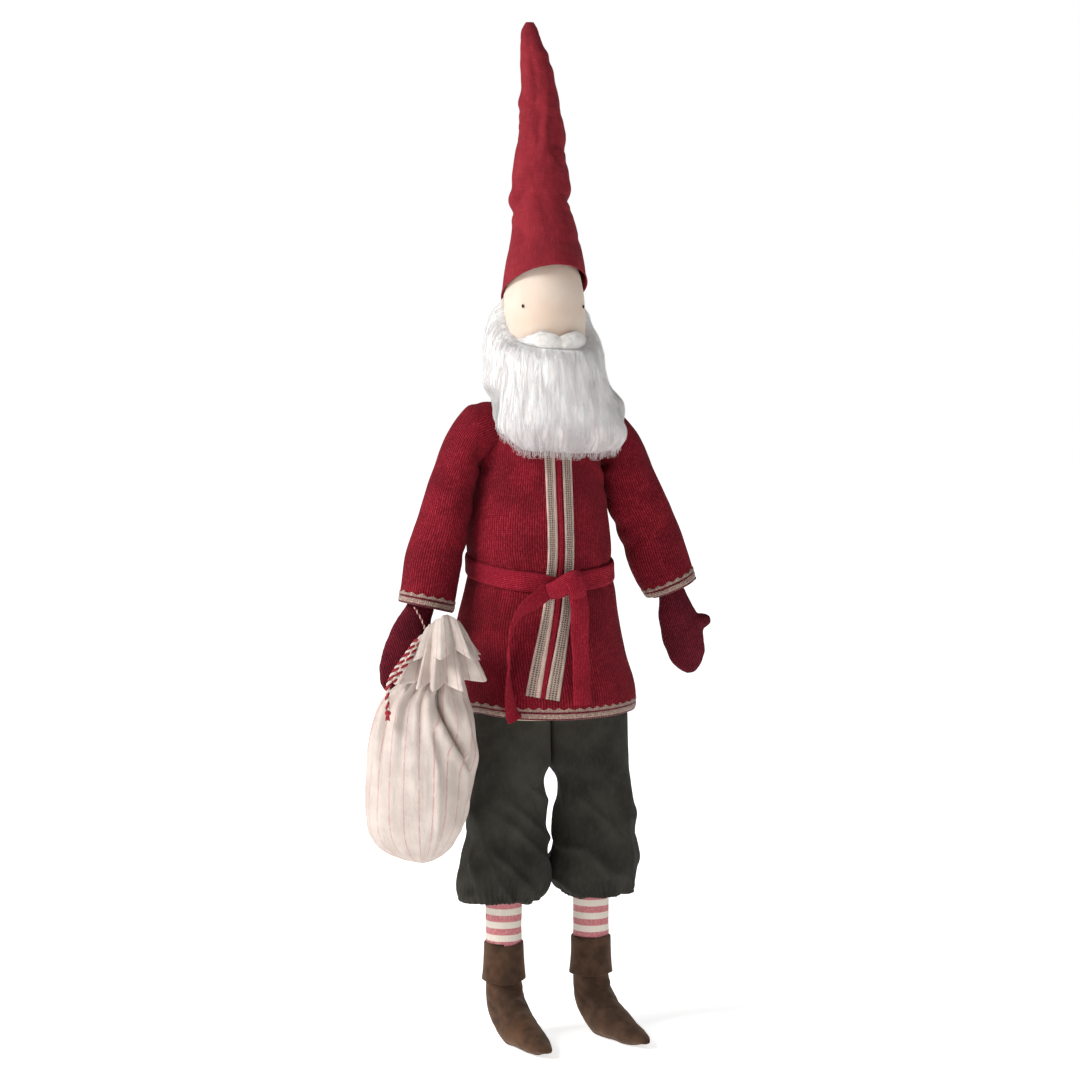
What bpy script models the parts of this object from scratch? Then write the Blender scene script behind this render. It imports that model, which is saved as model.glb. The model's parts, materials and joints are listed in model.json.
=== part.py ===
"""A soft textile tomte doll with a tall hat, a wool beard, a belted tunic and a small sack.

The doll faces -Y, its right hand is at -X and +Z is up.  The origin is the middle of the base
of the neck.  Lengths below are in millimetres and MM turns them into metres.
"""
from math import cos, pi, radians, sin, sqrt

import bmesh
import bpy
from mathutils import Vector

MM = 0.001
GAP = 0.3                      # clearance between pieces that touch
KNIT = 1.5                     # thickness of the knitted tunic and sleeves
CLOTH = 1.2                    # thickness of the woven hat, trousers and sack
TRIM = 0.8                     # thickness of the sewn-on braid
AROUND = 20                    # facets around the body
LIMB = 14                      # facets around a limb

# ---- joints ---------------------------------------------------------------------------------
HEAD_AXIS = Vector((0, -8, 10))            # the head turns about a vertical line through here
SHOULDER = Vector((46.6, 0, -20))          # the left one; each arm swings about a line along X
HIP = Vector((34.0, 0, -254))              # the left one, before the hips' shift
HIP_SHIFT = 5.9                            # the hips lean to the doll's left
WRIST = Vector((-93, -11, -153.5))         # the sack swings here, about a line along X

# ---- body: height, middle x, middle y, half width, half depth -------------------------------
TUNIC = (
    (4, 0, -5, 22.5, 20.5),
    (1, 0, -3, 35, 26),
    (-4, 0, 0, 43, 29),
    (-20, 0, 0, 45.2, 33),
    (-40, 0, 0, 46, 37),
    (-62, 0, 0, 49, 40),
    (-81, 0, 0, 51.3, 41.5),
    (-102, 0, 0, 53.3, 42.5),
    (-120, 0, 0, 54, 43),
    (-150, 2, -2, 55.5, 44.5),
    (-190, 5, -5, 58, 46.5),
    (-223, 7, -7, 60, 48),
)
TORSO = (
    (-3, 0, -4, 24, 19),
    (-7, 0, -1, 34, 24),
    (-14, 0, 0, 38, 27),
    (-32, 0, 0, 38.2, 32),
    (-50, 0, 0, 43, 35.5),
    (-81, 0, 0, 48.5, 38.8),
    (-120, 0, 0, 51.2, 40.2),
    (-150, 2, -2, 52.4, 41.4),
    (-190, 5, -5, 52.8, 41),
    (-215, 5, -4, 50, 38),
    (-229.5, 5, -2, 38, 26),
)
SEAT = (
    (-166, 3.2, -3.2, 54.4, 43),
    (-190, 5, -5, 55.6, 44),
    (-215, 5.5, -4.5, 56, 42.5),
    (-231.5, 6, -2, 55, 36),
)
NECK_RADIUS = 12.5
NECK_HEIGHTS = (-2.7, 11)
COLLAR_HEIGHTS = (0.5, 8)
COLLAR_RADIUS = 17.6
COLLAR_Y = -5.5

# ---- trims and belt -------------------------------------------------------------------------
PLACKET_TOP = -9
PLACKET_BEND = -118                        # below the belt the front edge slants
PLACKET_FOOT = -210.5
PLACKET_LOW_STEPS = (-150, -190)           # heights where the lower front is bent to the tunic
PLACKET_SLANT = 0.19                       # sideways per unit of height, towards the right
PLACKET_OFFSET = 6.4                       # from the middle of the front to each band
PLACKET_HALF = 3.6
PLACKET_GAP = 0.4                          # from the tunic to the braid
HEM_TRIM = (-223, -212)
BELT_WIDTH = 14.5
BELT_THICKNESS = 2.2
BELT_MIDDLE = -119.5
BELT_FALL = 9                              # the belt hangs lower in front and higher behind
BELT_GAP = 2 * GAP + TRIM + 0.6
KNOT_MIDDLE = Vector((-0.5, -53.6, -130))
KNOT_HALF = Vector((12.5, 5.2, 7.8))
TAIL_LEFT = ((7.5, -54.5, -140.5), (8.5, -54.5, -160), (9.5, -56.5, -190), (10.5, -59.5, -215))
TAIL_RIGHT = (
    (-16, -53.5, -136), (-29, -50.5, -146), (-38, -48, -166), (-41, -47, -190), (-39, -47.5, -226),
)

# ---- head: height, half width, half depth ---------------------------------------------------
HEAD = (
    (11.4, 15, 14.5),
    (17, 23.5, 23.5),
    (28, 28.6, 28.8),
    (46, 30.3, 30.6),
    (64, 30, 30.2),
    (80, 28.6, 28.6),
    (94, 25.2, 25.2),
    (105, 18.6, 18.6),
    (111, 8, 8),
)
# height, middle x, middle y, radius, fall of the ring towards the back
HAT = (
    (80.3, 0, -8, 32.4, 0.51),
    (93, 0.8, -6.5, 30.6, 0.40),
    (106, 1.6, -4.5, 27.2, 0.26),
    (128, 1.9, -1, 23.2, 0.12),
    (150, 0.9, 1.5, 20.4, 0.06),
    (164, 2, 3, 21, 0.0),
    (188, 2.6, 6, 17.8, 0.0),
    (211, 3.8, 9, 15, 0.0),
    (232, 3.2, 12, 13.5, 0.0),
    (244, 1.3, 14.5, 12, 0.0),
    (257, -0.3, 18, 8.8, 0.0),
    (267, -0.2, 21, 6.4, 0.0),
    (273.2, 0, 22, 2.6, 0.0),
)
HAT_FILLING_FOOT = 119
HAT_FILLING_TOP = 262
HAT_FILLING_GAP = 0.8                      # from the hat's cloth to its filling
EYE_ANGLE = 49.5                           # from the middle of the face, in degrees
EYE_HEIGHT = 66.5
EYE_RADIUS = 1.1
EYE_SEAT = 30.5                            # from the head's axis to an eye's back
MOUSTACHE_HEIGHT = 41
MOUSTACHE_ENDS = (2.5, 48)                 # degrees from the middle of the face
MOUSTACHE_RADIUS = 35.2                    # from the head's axis to the moustache's middle
# height below the middle, half width and half depth of one side of the moustache
MOUSTACHE = (
    (0, 2.2, 1.5), (0.3, 5.4, 3.2), (0.6, 6.4, 3.2), (0.9, 6.4, 3.2), (1.2, 5.2, 3.2), (1.5, 2.2, 1.5),
)

# height, inner radius in front and at the edges, outer radius in front and at the edges, reach
BEARD = (
    (70, 31.2, 31.2, 33, 34.5, 104),
    (56, 31.4, 31.4, 38, 41, 104),
    (38, 31.6, 31.6, 43, 45.5, 102),
    (20, 30.4, 30.4, 45, 47, 100),
    (9, 30.4, 31, 46, 47.5, 94),
    (5, 32, 39, 46.5, 51, 52),
    (-14, 32.4, 39.4, 46.5, 52, 46),
    (-30, 32.8, 39.4, 45, 51, 44),
    (-38, 34, 40, 41, 47, 38),
)
BEARD_STEPS = 12
BEARD_THINNING = 0.35                      # the beard is this much thinner at its two edges
FACE_WINDOW = 66                           # half of the bare face's width, in degrees
FACE_WINDOW_HEIGHTS = (33, 90)
FACE_WINDOW_REACH = 70                     # beyond the beard's outside
FACE_WINDOW_STEPS = 8

# ---- arms: x and z of a ring's inner edge, then of its outer edge, and its half depth --------
SLEEVE_RIGHT = (
    (46.6, -39.4, 46.6, -0.6, 19.4),
    (47.3, -42.5, 61, -9.5, 19.3),
    (48.6, -48.5, 72.5, -28, 19),
    (51.6, -62, 80.5, -50, 18.6),
    (55.3, -81, 90.5, -78, 18.5),
    (60.5, -112.5, 101.5, -110.5, 19),
    (66, -151.5, 107.5, -146, 18.5),
)
SLEEVE_LEFT = (
    (46.6, -39.4, 46.6, -0.6, 19.4),
    (47.3, -42.5, 61.5, -8.5, 19.3),
    (49, -48.5, 76, -25, 19),
    (51.8, -62, 86, -47, 18.6),
    (56.5, -88, 106, -85, 18),
    (72.5, -129, 120, -122, 18),
    (82, -145, 122.5, -134.5, 18),
)
SHOULDER_STUB = 12                         # radius of the arm where it is sewn to the torso
STUB_ENDS = (38.9, 45.9)
ARMHOLE = 13.6
ARMHOLE_ENDS = (30, 60)                    # x of the cut through the tunic's side
ARM_INSET = 4.2
WRIST_GAP = 4.0                            # between the stuffed arm and the mitten, in the sleeve
MITTEN_RIGHT = (
    (87.5, 0, -140, 9.5, 7),
    (92, 0, -150, 10.8, 7.4),
    (97, 0, -163, 14.5, 8),
    (102.5, 0, -178, 16.4, 8),
    (109, 0, -193, 14, 7),
    (113.5, 0, -203, 9, 5),
    (115.5, 0, -207.6, 3.5, 2.5),
)
MITTEN_LEFT = (
    (102.4, 0, -138, 9.8, 7),
    (104.2, 0, -144, 11, 7.4),
    (107.5, 0, -157, 15, 8),
    (112.5, 0, -174, 17.2, 8),
    (116.5, 0, -189, 15, 7),
    (118.8, 0, -198.5, 9.5, 5),
    (119.8, 0, -202.8, 3.5, 2.5),
)
THUMB_LEFT = (Vector((119, 0, -165)), Vector((135, 0, -162.5)), 5.8)
THUMB_RIGHT = (Vector((-94, -1, -166)), Vector((-83, -2, -176)), 5.4)
# share of the way from a thumb's root to its tip, and share of its radius there
THUMB = ((0, 1), (0.7, 1), (0.95, 0.7), (1, 0.25))
CUFF_TRIM = 11
CUFF_GAP = 0.5                             # from the sleeve to its braid

# ---- legs ------------------------------------------------------------------------------------
# height, sideways from the leg's middle, half width, half depth
TROUSER = (
    (-237, 0, 23, 11),
    (-243, 0, 27, 16.6),
    (-254, 0, 28.4, 20.2),
    (-289, 3.4, 29.2, 21.2),
    (-320, 2, 30.4, 23.4),
    (-345, 0.4, 33, 26.4),
    (-357, 0, 30, 25),
    (-363, 0, 19, 18),
)
LEG = (
    (-240.5, 18, 8),
    (-246, 21, 14),
    (-256, 22.5, 17),
    (-289, 21, 17.6),
    (-325, 17, 16.5),
    (-352, 13.8, 13.8),
    (-366, 13.3, 13.3),
    (-389, 13.2, 13.2),
    (-391.2, 11.7, 11.7),
    (-399, 9.5, 9.5),
)
# forwards, height, half width, half depth of the boot's outside along the foot
FOOT = (
    (0, -392, 13.4, 13.4),
    (0, -408, 13.2, 13.2),
    (0, -424, 13.2, 13.4),
    (-2.5, -437, 13.8, 15.4),
    (-9.5, -447, 13.9, 18.4),
    (-21, -452, 13.6, 15.6),
    (-38, -455.5, 12.6, 11.5),
    (-55, -459, 10.2, 7.6),
    (-66, -461.5, 6, 4.2),
    (-70, -462.4, 2.4, 2),
)
FOOT_HEADING = {"left": 14, "right": 8}    # degrees towards the doll's left
SOLE_TOP = -462.2
SOLE_THICKNESS = 1.6
BOOT_SKIN = 1.0
BOOT_CUFF = ((-391.2, 14.9), (-421, 16.6)) # height and outer radius, top and bottom
BOOT_CUFF_THICKNESS = 1.1
BOOT_TOP = -393.5                          # the hollow reaches out past the boot's top here
HOLLOW_RISE = 10
ELASTIC_HEIGHTS = (-362.5, -358.5)
ELASTIC_RADIUS = 15.4
ELASTIC_THICKNESS = 1.2
# forwards along the foot, and half the width of the sole there
SOLE_OUTLINE = (
    (-8.5, 0), (-7, 5.4), (-2.5, 9.8), (6, 12.2), (22, 12.2), (40, 11.2), (55, 8.6), (65, 4.6), (68.5, 0),
)

# ---- sack: height, middle x, middle y, half width, half depth, from its foot to its frill ----
SACK = (
    (-326.5, -97, -30, 7, 6),
    (-322, -98.5, -30, 22, 17),
    (-312, -101, -30, 31, 24),
    (-295, -103, -30, 36, 27.5),
    (-275, -103.2, -30, 37, 28),
    (-250, -102, -30, 35.5, 27),
    (-225, -98, -30, 31, 23),
    (-208, -94, -30, 24, 16),
    (-196, -91, -29.4, 16.5, 11.6),
    (-184, -89, -28, 11, 9),
    (-166, -87.5, -27, 9.5, 8),
    (-159, -86.5, -26.6, 11.5, 9.2),
    (-157.2, -86, -26.6, 16, 11.4),
    (-162, -86, -27.4, 21.5, 13),
    (-178, -86, -28.4, 25, 14.4),
    (-198, -86, -29.6, 27.2, 16),
)
SACK_BODY_SECTIONS = 9
CORD = 3.3                                 # diameter of the twisted drawstring
STRING = 1.6                               # diameter of the thin string on the wrist
DRAWSTRING_LONG = (
    (-106.6, -42.8, -166.0), (-112.4, -45.0, -172.6), (-119.4, -46.4, -181.2),
    (-125.6, -47.0, -189.2), (-128.8, -46.8, -197.4), (-129.6, -46.8, -205.6),
    (-129.2, -47.0, -213.6),
)
DRAWSTRING_SHORT = (
    (-103.6, -40.6, -168.6), (-109.0, -42.4, -175.2), (-115.6, -43.2, -183.6),
    (-121.8, -43.8, -191.4), (-124.0, -44.0, -195.4),
)
TASSEL_HALF = Vector((2.6, 2.6, 3.4))
TASSEL_DROP = 4.2                          # from the drawstring's end to the tassel's middle
HANGING_STRING = (
    (-98.2, -9.8, -146.2), (-96.6, -10.8, -149.6), (-94.4, -11.4, -153.6),
    (-92.2, -11.8, -159.0), (-90.2, -11.6, -165.5), (-88.8, -11.2, -173.0),
)
WRIST_LOOP = Vector((-90, 0, -142.4))      # the string's ring, inside the right cuff
WRIST_LOOP_HALF = (13, 9.4)                # half its width and half its depth
WRIST_LOOP_TILT = 0.35                     # the ring falls towards the body by this share
WRIST_LOOP_STEPS = 24
SACK_FILLING_RISE = 2.5                    # from the sack's foot to its filling
SACK_FILLING_GAP = 1                       # from the sack's cloth to its filling

# ---- colours and finishes -------------------------------------------------------------------
MATERIALS = {
    "red_linen": ((0.34, 0.030, 0.045), 0.9),
    "crimson_knit": ((0.20, 0.011, 0.024), 0.95),
    "belt_knit": ((0.27, 0.010, 0.028), 0.9),
    "maroon_knit": ((0.095, 0.009, 0.018), 0.95),
    "beige_braid": ((0.50, 0.36, 0.29), 0.9),
    "face_cotton": ((0.86, 0.74, 0.60), 0.85),
    "eye_thread": ((0.02, 0.015, 0.012), 0.5),
    "white_wool": ((0.84, 0.80, 0.78), 0.95),
    "wool_felt": ((0.90, 0.86, 0.80), 0.95),
    "body_linen": ((0.72, 0.62, 0.50), 0.9),
    "stuffing": ((0.85, 0.84, 0.80), 0.95),
    "olive_cotton": ((0.042, 0.040, 0.033), 0.9),
    "elastic": ((0.03, 0.03, 0.025), 0.8),
    "striped_jersey": ((0.62, 0.35, 0.34), 0.9),
    "brown_suede": ((0.080, 0.045, 0.028), 0.85),
    "sack_cotton": ((0.74, 0.62, 0.54), 0.9),
    "twisted_cord": ((0.60, 0.28, 0.25), 0.85),
    "red_yarn": ((0.40, 0.03, 0.05), 0.9),
}

for old in list(bpy.data.objects):
    bpy.data.objects.remove(old, do_unlink=True)
parts = bpy.data.collections.new("tomte_doll")
cutters = bpy.data.collections.new("cutters")
for group in (parts, cutters):
    bpy.context.scene.collection.children.link(group)


def make_material(name, colour, roughness):
    material = bpy.data.materials.new(name)
    material.use_nodes = True
    shader = material.node_tree.nodes["Principled BSDF"]
    shader.inputs["Base Color"].default_value = (*colour, 1)
    shader.inputs["Roughness"].default_value = roughness
    shader.inputs["Metallic"].default_value = 0
    return material


finishes = {name: make_material(name, *look) for name, look in MATERIALS.items()}


def joint_empty(name, place):
    """A moving group's parent, on its joint's axis."""
    empty = bpy.data.objects.new(name, None)
    empty.location = Vector(place) * MM
    parts.objects.link(empty)
    return empty


joints = {
    "head": joint_empty("head_joint", HEAD_AXIS),
    "sack": joint_empty("sack_joint", WRIST),
}
for side, sign in (("left", 1), ("right", -1)):
    joints[f"arm_{side}"] = joint_empty(f"shoulder_{side}", (sign * SHOULDER.x, *SHOULDER.yz))
    joints[f"leg_{side}"] = joint_empty(f"hip_{side}", (sign * HIP.x + HIP_SHIFT, *HIP.yz))
bpy.context.view_layer.update()


def place(obj, finish, joint=None):
    """Give an object its material, its collection and its moving parent."""
    obj.data.materials.append(finishes[finish])
    parts.objects.link(obj)
    if joint:
        obj.parent = joints[joint]
        obj.matrix_parent_inverse = joints[joint].matrix_world.inverted()
    return obj


def mesh_object(name, bm, finish, joint=None, smooth=True):
    mesh = bpy.data.meshes.new(name)
    bm.to_mesh(mesh)
    bm.free()
    if smooth:
        mesh.shade_smooth()
        mesh.set_sharp_from_angle(angle=radians(50))
    return place(bpy.data.objects.new(name, mesh), finish, joint)


def ellipse(middle, across, along, sides):
    """Points of an ellipse, given its middle and its two half axes as vectors."""
    turns = [2 * pi * i / sides for i in range(sides)]
    return [middle + across * cos(t) + along * sin(t) for t in turns]


def loft_mesh(rings, ends="both", around=False):
    """A surface through rings of points that turn anticlockwise about the way they run."""
    bm = bmesh.new()
    rows = [[bm.verts.new(point * MM) for point in ring] for ring in rings]
    pairs = list(zip(rows, rows[1:]))
    if around:
        pairs.append((rows[-1], rows[0]))
    for near, far in pairs:
        for i in range(len(near)):
            j = (i + 1) % len(near)
            bm.faces.new((near[i], near[j], far[j], far[i]))
    if ends in ("both", "first"):
        bm.faces.new(rows[0][::-1])
    if ends in ("both", "last"):
        bm.faces.new(rows[-1])
    if ends == "both" or around:
        bmesh.ops.recalc_face_normals(bm, faces=bm.faces)
    return bm


def loft(name, rings, finish, joint=None, ends="both", around=False, wall=0.0):
    """A lofted solid, or with a wall, a shell whose outside is the loft."""
    obj = mesh_object(name, loft_mesh(rings, ends, around), finish, joint)
    if wall:
        solidify = obj.modifiers.new("wall", "SOLIDIFY")
        solidify.thickness = wall * MM
        solidify.offset = -1
        solidify.use_even_offset = True
    return obj


def level_rings(sections, sides=AROUND, inset=0.0):
    """Level ellipses from (height, x, y, half width, half depth), running up or down."""
    way = 1 if sections[-1][0] > sections[0][0] else -1
    return [
        ellipse(Vector((x, y, z)), Vector((w - inset, 0, 0)), Vector((0, way * (d - inset), 0)), sides)
        for z, x, y, w, d in sections
    ]


def swept_rings(stations, flat, first_way=None, sides=LIMB, inset=0.0):
    """Ellipses across a path of (x, y, z, half width, half depth); flat is the depth's way."""
    middles = [Vector(s[:3]) for s in stations]
    rings = []
    for i, (middle, station) in enumerate(zip(middles, stations)):
        way = middles[min(i + 1, len(middles) - 1)] - middles[max(i - 1, 0)]
        if i == 0 and first_way:
            way = first_way
        across = flat.cross(way).normalized()
        rings.append(
            ellipse(middle, across * (station[3] - inset), flat * (station[4] - inset), sides)
        )
    return rings


def band(name, inner, outer, finish, joint=None):
    """A closed ring of cloth from its inner and outer (lower, upper) rings of points."""
    rings = [inner[0], inner[1], outer[1], outer[0]]
    return loft(name, rings, finish, joint, ends="none", around=True)


def section_at(sections, height):
    """Middle x, middle y, half width and half depth of a body at a height."""
    for upper, lower in zip(sections, sections[1:]):
        if lower[0] <= height <= upper[0]:
            share = (upper[0] - height) / (upper[0] - lower[0])
            return [u + (v - u) * share for u, v in zip(upper[1:], lower[1:])]
    raise ValueError(height)


def tunic_front(x, height, proud):
    """The point on the tunic's front at x, standing proud of the cloth."""
    mx, my, width, depth = section_at(TUNIC, height)
    share = (x - mx) / (width + proud)
    return Vector((x, my - (depth + proud) * sqrt(1 - share * share), height))


def tunic_ring(height, proud, fall=0.0):
    """A ring around the tunic that hangs lower in front by fall."""
    ring = []
    for i in range(AROUND):
        turn = 2 * pi * i / AROUND
        z = height + fall * sin(turn)
        mx, my, width, depth = section_at(TUNIC, z)
        ring.append(Vector((mx + (width + proud) * cos(turn), my + (depth + proud) * sin(turn), z)))
    return ring


def cut(obj, cutter, operation="DIFFERENCE"):
    """Cut or join with a cutter, and keep the result in the mesh."""
    cutters.objects.link(cutter)
    cutter.hide_render = True
    cutter.display_type = "WIRE"
    boolean = obj.modifiers.new("cut", "BOOLEAN")
    boolean.operation = operation
    boolean.object = cutter
    return boolean


def cutter_from(name, bm):
    mesh = bpy.data.meshes.new(name)
    bm.to_mesh(mesh)
    bm.free()
    return bpy.data.objects.new(name, mesh)


def rod_mesh(start, end, radius, sides=24):
    """A round rod between two points along X."""
    rings = [
        ellipse(Vector((x, start.y, start.z)), Vector((0, radius, 0)), Vector((0, 0, radius)), sides)
        for x in (start.x, end.x)
    ]
    return loft_mesh(rings)


def smooth_route(points, steps=2):
    """Points on one smooth curve through a route's own points."""
    way = [Vector(p) for p in points]
    way = [2 * way[0] - way[1], *way, 2 * way[-1] - way[-2]]
    route = []
    for a, b, c, d in zip(way, way[1:], way[2:], way[3:]):
        for i in range(steps):
            t = i / steps
            route.append(
                0.5 * ((2 * b) + (c - a) * t + (2 * a - 5 * b + 4 * c - d) * t * t
                       + (3 * b - a - 3 * c + d) * t ** 3)
            )
    return [*route, way[-2]]


def cord(name, points, diameter, finish, joint=None, closed=False):
    """A round cord along points, as a curve with filled caps."""
    curve = bpy.data.curves.new(name, "CURVE")
    curve.dimensions = "3D"
    curve.bevel_depth = diameter / 2 * MM
    curve.bevel_resolution = 2
    curve.use_fill_caps = True
    spline = curve.splines.new("POLY")
    spline.points.add(len(points) - 1)
    for target, point in zip(spline.points, points):
        target.co = (*(Vector(point) * MM), 1)
    spline.use_cyclic_u = closed
    return place(bpy.data.objects.new(name, curve), finish, joint)


def ball(name, middle, half, finish, joint=None, segments=12, rings=8):
    """A round or flattened ball with half sizes along X, Y and Z."""
    bm = bmesh.new()
    bmesh.ops.create_uvsphere(bm, u_segments=segments, v_segments=rings, radius=1)
    for vertex in bm.verts:
        vertex.co = (Vector(middle) + vertex.co * Vector(half)) * MM
    return mesh_object(name, bm, finish, joint)


def around_face(degrees, radius, height):
    """A point around the head's upright axis; 0 degrees is the middle of the face."""
    t = radians(degrees)
    return Vector((HEAD_AXIS.x + radius * sin(t), HEAD_AXIS.y - radius * cos(t), height))


# ---- body ------------------------------------------------------------------------------------
def build_body():
    loft("torso", level_rings(TORSO), "body_linen")
    neck = [(z, 0, HEAD_AXIS.y, NECK_RADIUS, NECK_RADIUS) for z in NECK_HEIGHTS]
    loft("neck", level_rings(neck, LIMB), "body_linen")
    tunic = loft("tunic_body", level_rings(TUNIC), "crimson_knit", ends="none", wall=KNIT)
    for sign in (1, -1):
        start, end = (Vector((sign * x, *SHOULDER.yz)) for x in ARMHOLE_ENDS)
        cut(tunic, cutter_from("armhole", rod_mesh(start, end, ARMHOLE)))
    low, high = COLLAR_HEIGHTS
    collar = [(z, 0, COLLAR_Y, COLLAR_RADIUS, COLLAR_RADIUS) for z in (low, high)]
    band("tunic_collar", level_rings(collar, AROUND, KNIT), level_rings(collar, AROUND), "crimson_knit")
    loft("trouser_seat", level_rings(SEAT), "olive_cotton", ends="none", wall=CLOTH)


def build_trims():
    heights = [z for z, *_ in TUNIC if PLACKET_FOOT < z < PLACKET_TOP and z > PLACKET_BEND]
    heights = [PLACKET_TOP, *heights, PLACKET_BEND, *PLACKET_LOW_STEPS, PLACKET_FOOT]
    for side, sign in (("left", 1), ("right", -1)):
        rings = []
        for z in heights:
            x = sign * PLACKET_OFFSET - PLACKET_SLANT * max(0, PLACKET_BEND - z)
            edges = (x + PLACKET_HALF, x, x - PLACKET_HALF)
            inner = [tunic_front(e, z, PLACKET_GAP) for e in edges]
            outer = [tunic_front(e, z, PLACKET_GAP + TRIM) for e in reversed(edges)]
            rings.append(inner + outer)
        loft(f"placket_trim_{side}", rings, "beige_braid")
    low, high = HEM_TRIM
    inner = [tunic_ring(z, GAP) for z in (low, high)]
    outer = [tunic_ring(z, GAP + TRIM) for z in (low, high)]
    band("hem_trim", inner, outer, "beige_braid")


def build_belt():
    half = BELT_WIDTH / 2
    proud = BELT_GAP + BELT_THICKNESS
    inner = [tunic_ring(BELT_MIDDLE + h, BELT_GAP, BELT_FALL) for h in (-half, half)]
    outer = [tunic_ring(BELT_MIDDLE + h, proud, BELT_FALL) for h in (-half, half)]
    band("belt", inner, outer, "belt_knit")
    ball("belt_knot", KNOT_MIDDLE, KNOT_HALF, "belt_knit", segments=16, rings=10)
    for name, route, face in (
        ("belt_tail_left", TAIL_LEFT, Vector((1, 0.1, 0))),
        ("belt_tail_right", TAIL_RIGHT, Vector((0.45, -0.9, 0))),
    ):
        width = face.normalized() * half
        thick = Vector((-face.y, face.x, 0)).normalized() * BELT_THICKNESS / 2
        corners = ((-1, 1), (1, 1), (1, -1), (-1, -1))
        rings = [[Vector(p) + width * a + thick * b for a, b in corners] for p in route]
        loft(name, rings, "belt_knit")


# ---- head ------------------------------------------------------------------------------------
def hat_rings(inset=0.0, low=HAT[0][0], high=HAT[-1][0]):
    rings = []
    for z, x, y, radius, fall in HAT:
        if low <= z <= high:
            r = radius - inset
            rings.append(
                ellipse(Vector((x, y, z)), Vector((r, 0, 0)), Vector((0, r, -fall * r)), AROUND)
            )
    return rings


def beard_ring(section):
    """A crescent around the chin at one height, thin at its two edges."""
    z, inner_front, inner_edge, outer_front, outer_edge, reach = section
    inner, outer = [], []
    for i in range(BEARD_STEPS + 1):
        share = 2 * i / BEARD_STEPS - 1
        bulge = share * share
        inner_radius = inner_front + (inner_edge - inner_front) * bulge
        inner.append(around_face(share * reach, inner_radius, z))
        outer_radius = outer_front + (outer_edge - outer_front) * bulge
        thick = (outer_radius - inner_radius) * (1 - BEARD_THINNING * bulge ** 4)
        outer.append(around_face(share * reach, inner_radius + thick, z))
    return outer[::-1] + inner


def build_head():
    sections = [(z, HEAD_AXIS.x, HEAD_AXIS.y, w, d) for z, w, d in HEAD]
    loft("head", level_rings(sections), "face_cotton", "head")
    loft("hat", hat_rings(), "red_linen", "head", ends="last", wall=CLOTH)
    filling = hat_rings(CLOTH + HAT_FILLING_GAP, HAT_FILLING_FOOT, HAT_FILLING_TOP)
    loft("hat_filling", filling, "stuffing", "head")
    beard = loft("beard", [beard_ring(s) for s in BEARD], "white_wool", "head")
    window = []
    for z in FACE_WINDOW_HEIGHTS:
        steps = [2 * i / FACE_WINDOW_STEPS - 1 for i in range(FACE_WINDOW_STEPS + 1)]
        arc = [around_face(FACE_WINDOW * step, FACE_WINDOW_REACH, z) for step in steps]
        window.append([around_face(0, 0, z), *arc])
    cut(beard, cutter_from("face_window", loft_mesh(window)))
    for side, sign in (("left", 1), ("right", -1)):
        eye = around_face(sign * EYE_ANGLE, EYE_SEAT + EYE_RADIUS, EYE_HEIGHT)
        ball(f"eye_{side}", eye, [EYE_RADIUS] * 3, "eye_thread", "head", 10, 6)
        near, far = MOUSTACHE_ENDS
        stations = []
        for i, (droop, half_width, half_depth) in enumerate(MOUSTACHE):
            angle = sign * (near + (far - near) * i / (len(MOUSTACHE) - 1))
            middle = around_face(angle, MOUSTACHE_RADIUS, MOUSTACHE_HEIGHT - droop)
            stations.append((*middle, half_depth, half_width))
        rings = swept_rings(stations, Vector((0, 0, 1)), sides=10)
        loft(f"moustache_{side}", rings, "wool_felt", "head")


# ---- arms ------------------------------------------------------------------------------------
def mirrored(stations, sign):
    return [(sign * x, *rest) for x, *rest in stations]


def edge_ring(station, sign, inset=0.0):
    """An ellipse between a sleeve's inner and outer edge."""
    inner_x, inner_z, outer_x, outer_z, depth = station
    inner, outer = Vector((sign * inner_x, 0, inner_z)), Vector((sign * outer_x, 0, outer_z))
    across = (outer - inner) / 2
    across -= across.normalized() * inset
    return ellipse((inner + outer) / 2, across, Vector((0, -sign * (depth - inset), 0)), LIMB)


def between(near, far, share):
    return [n + (f - n) * share for n, f in zip(near, far)]


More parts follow.
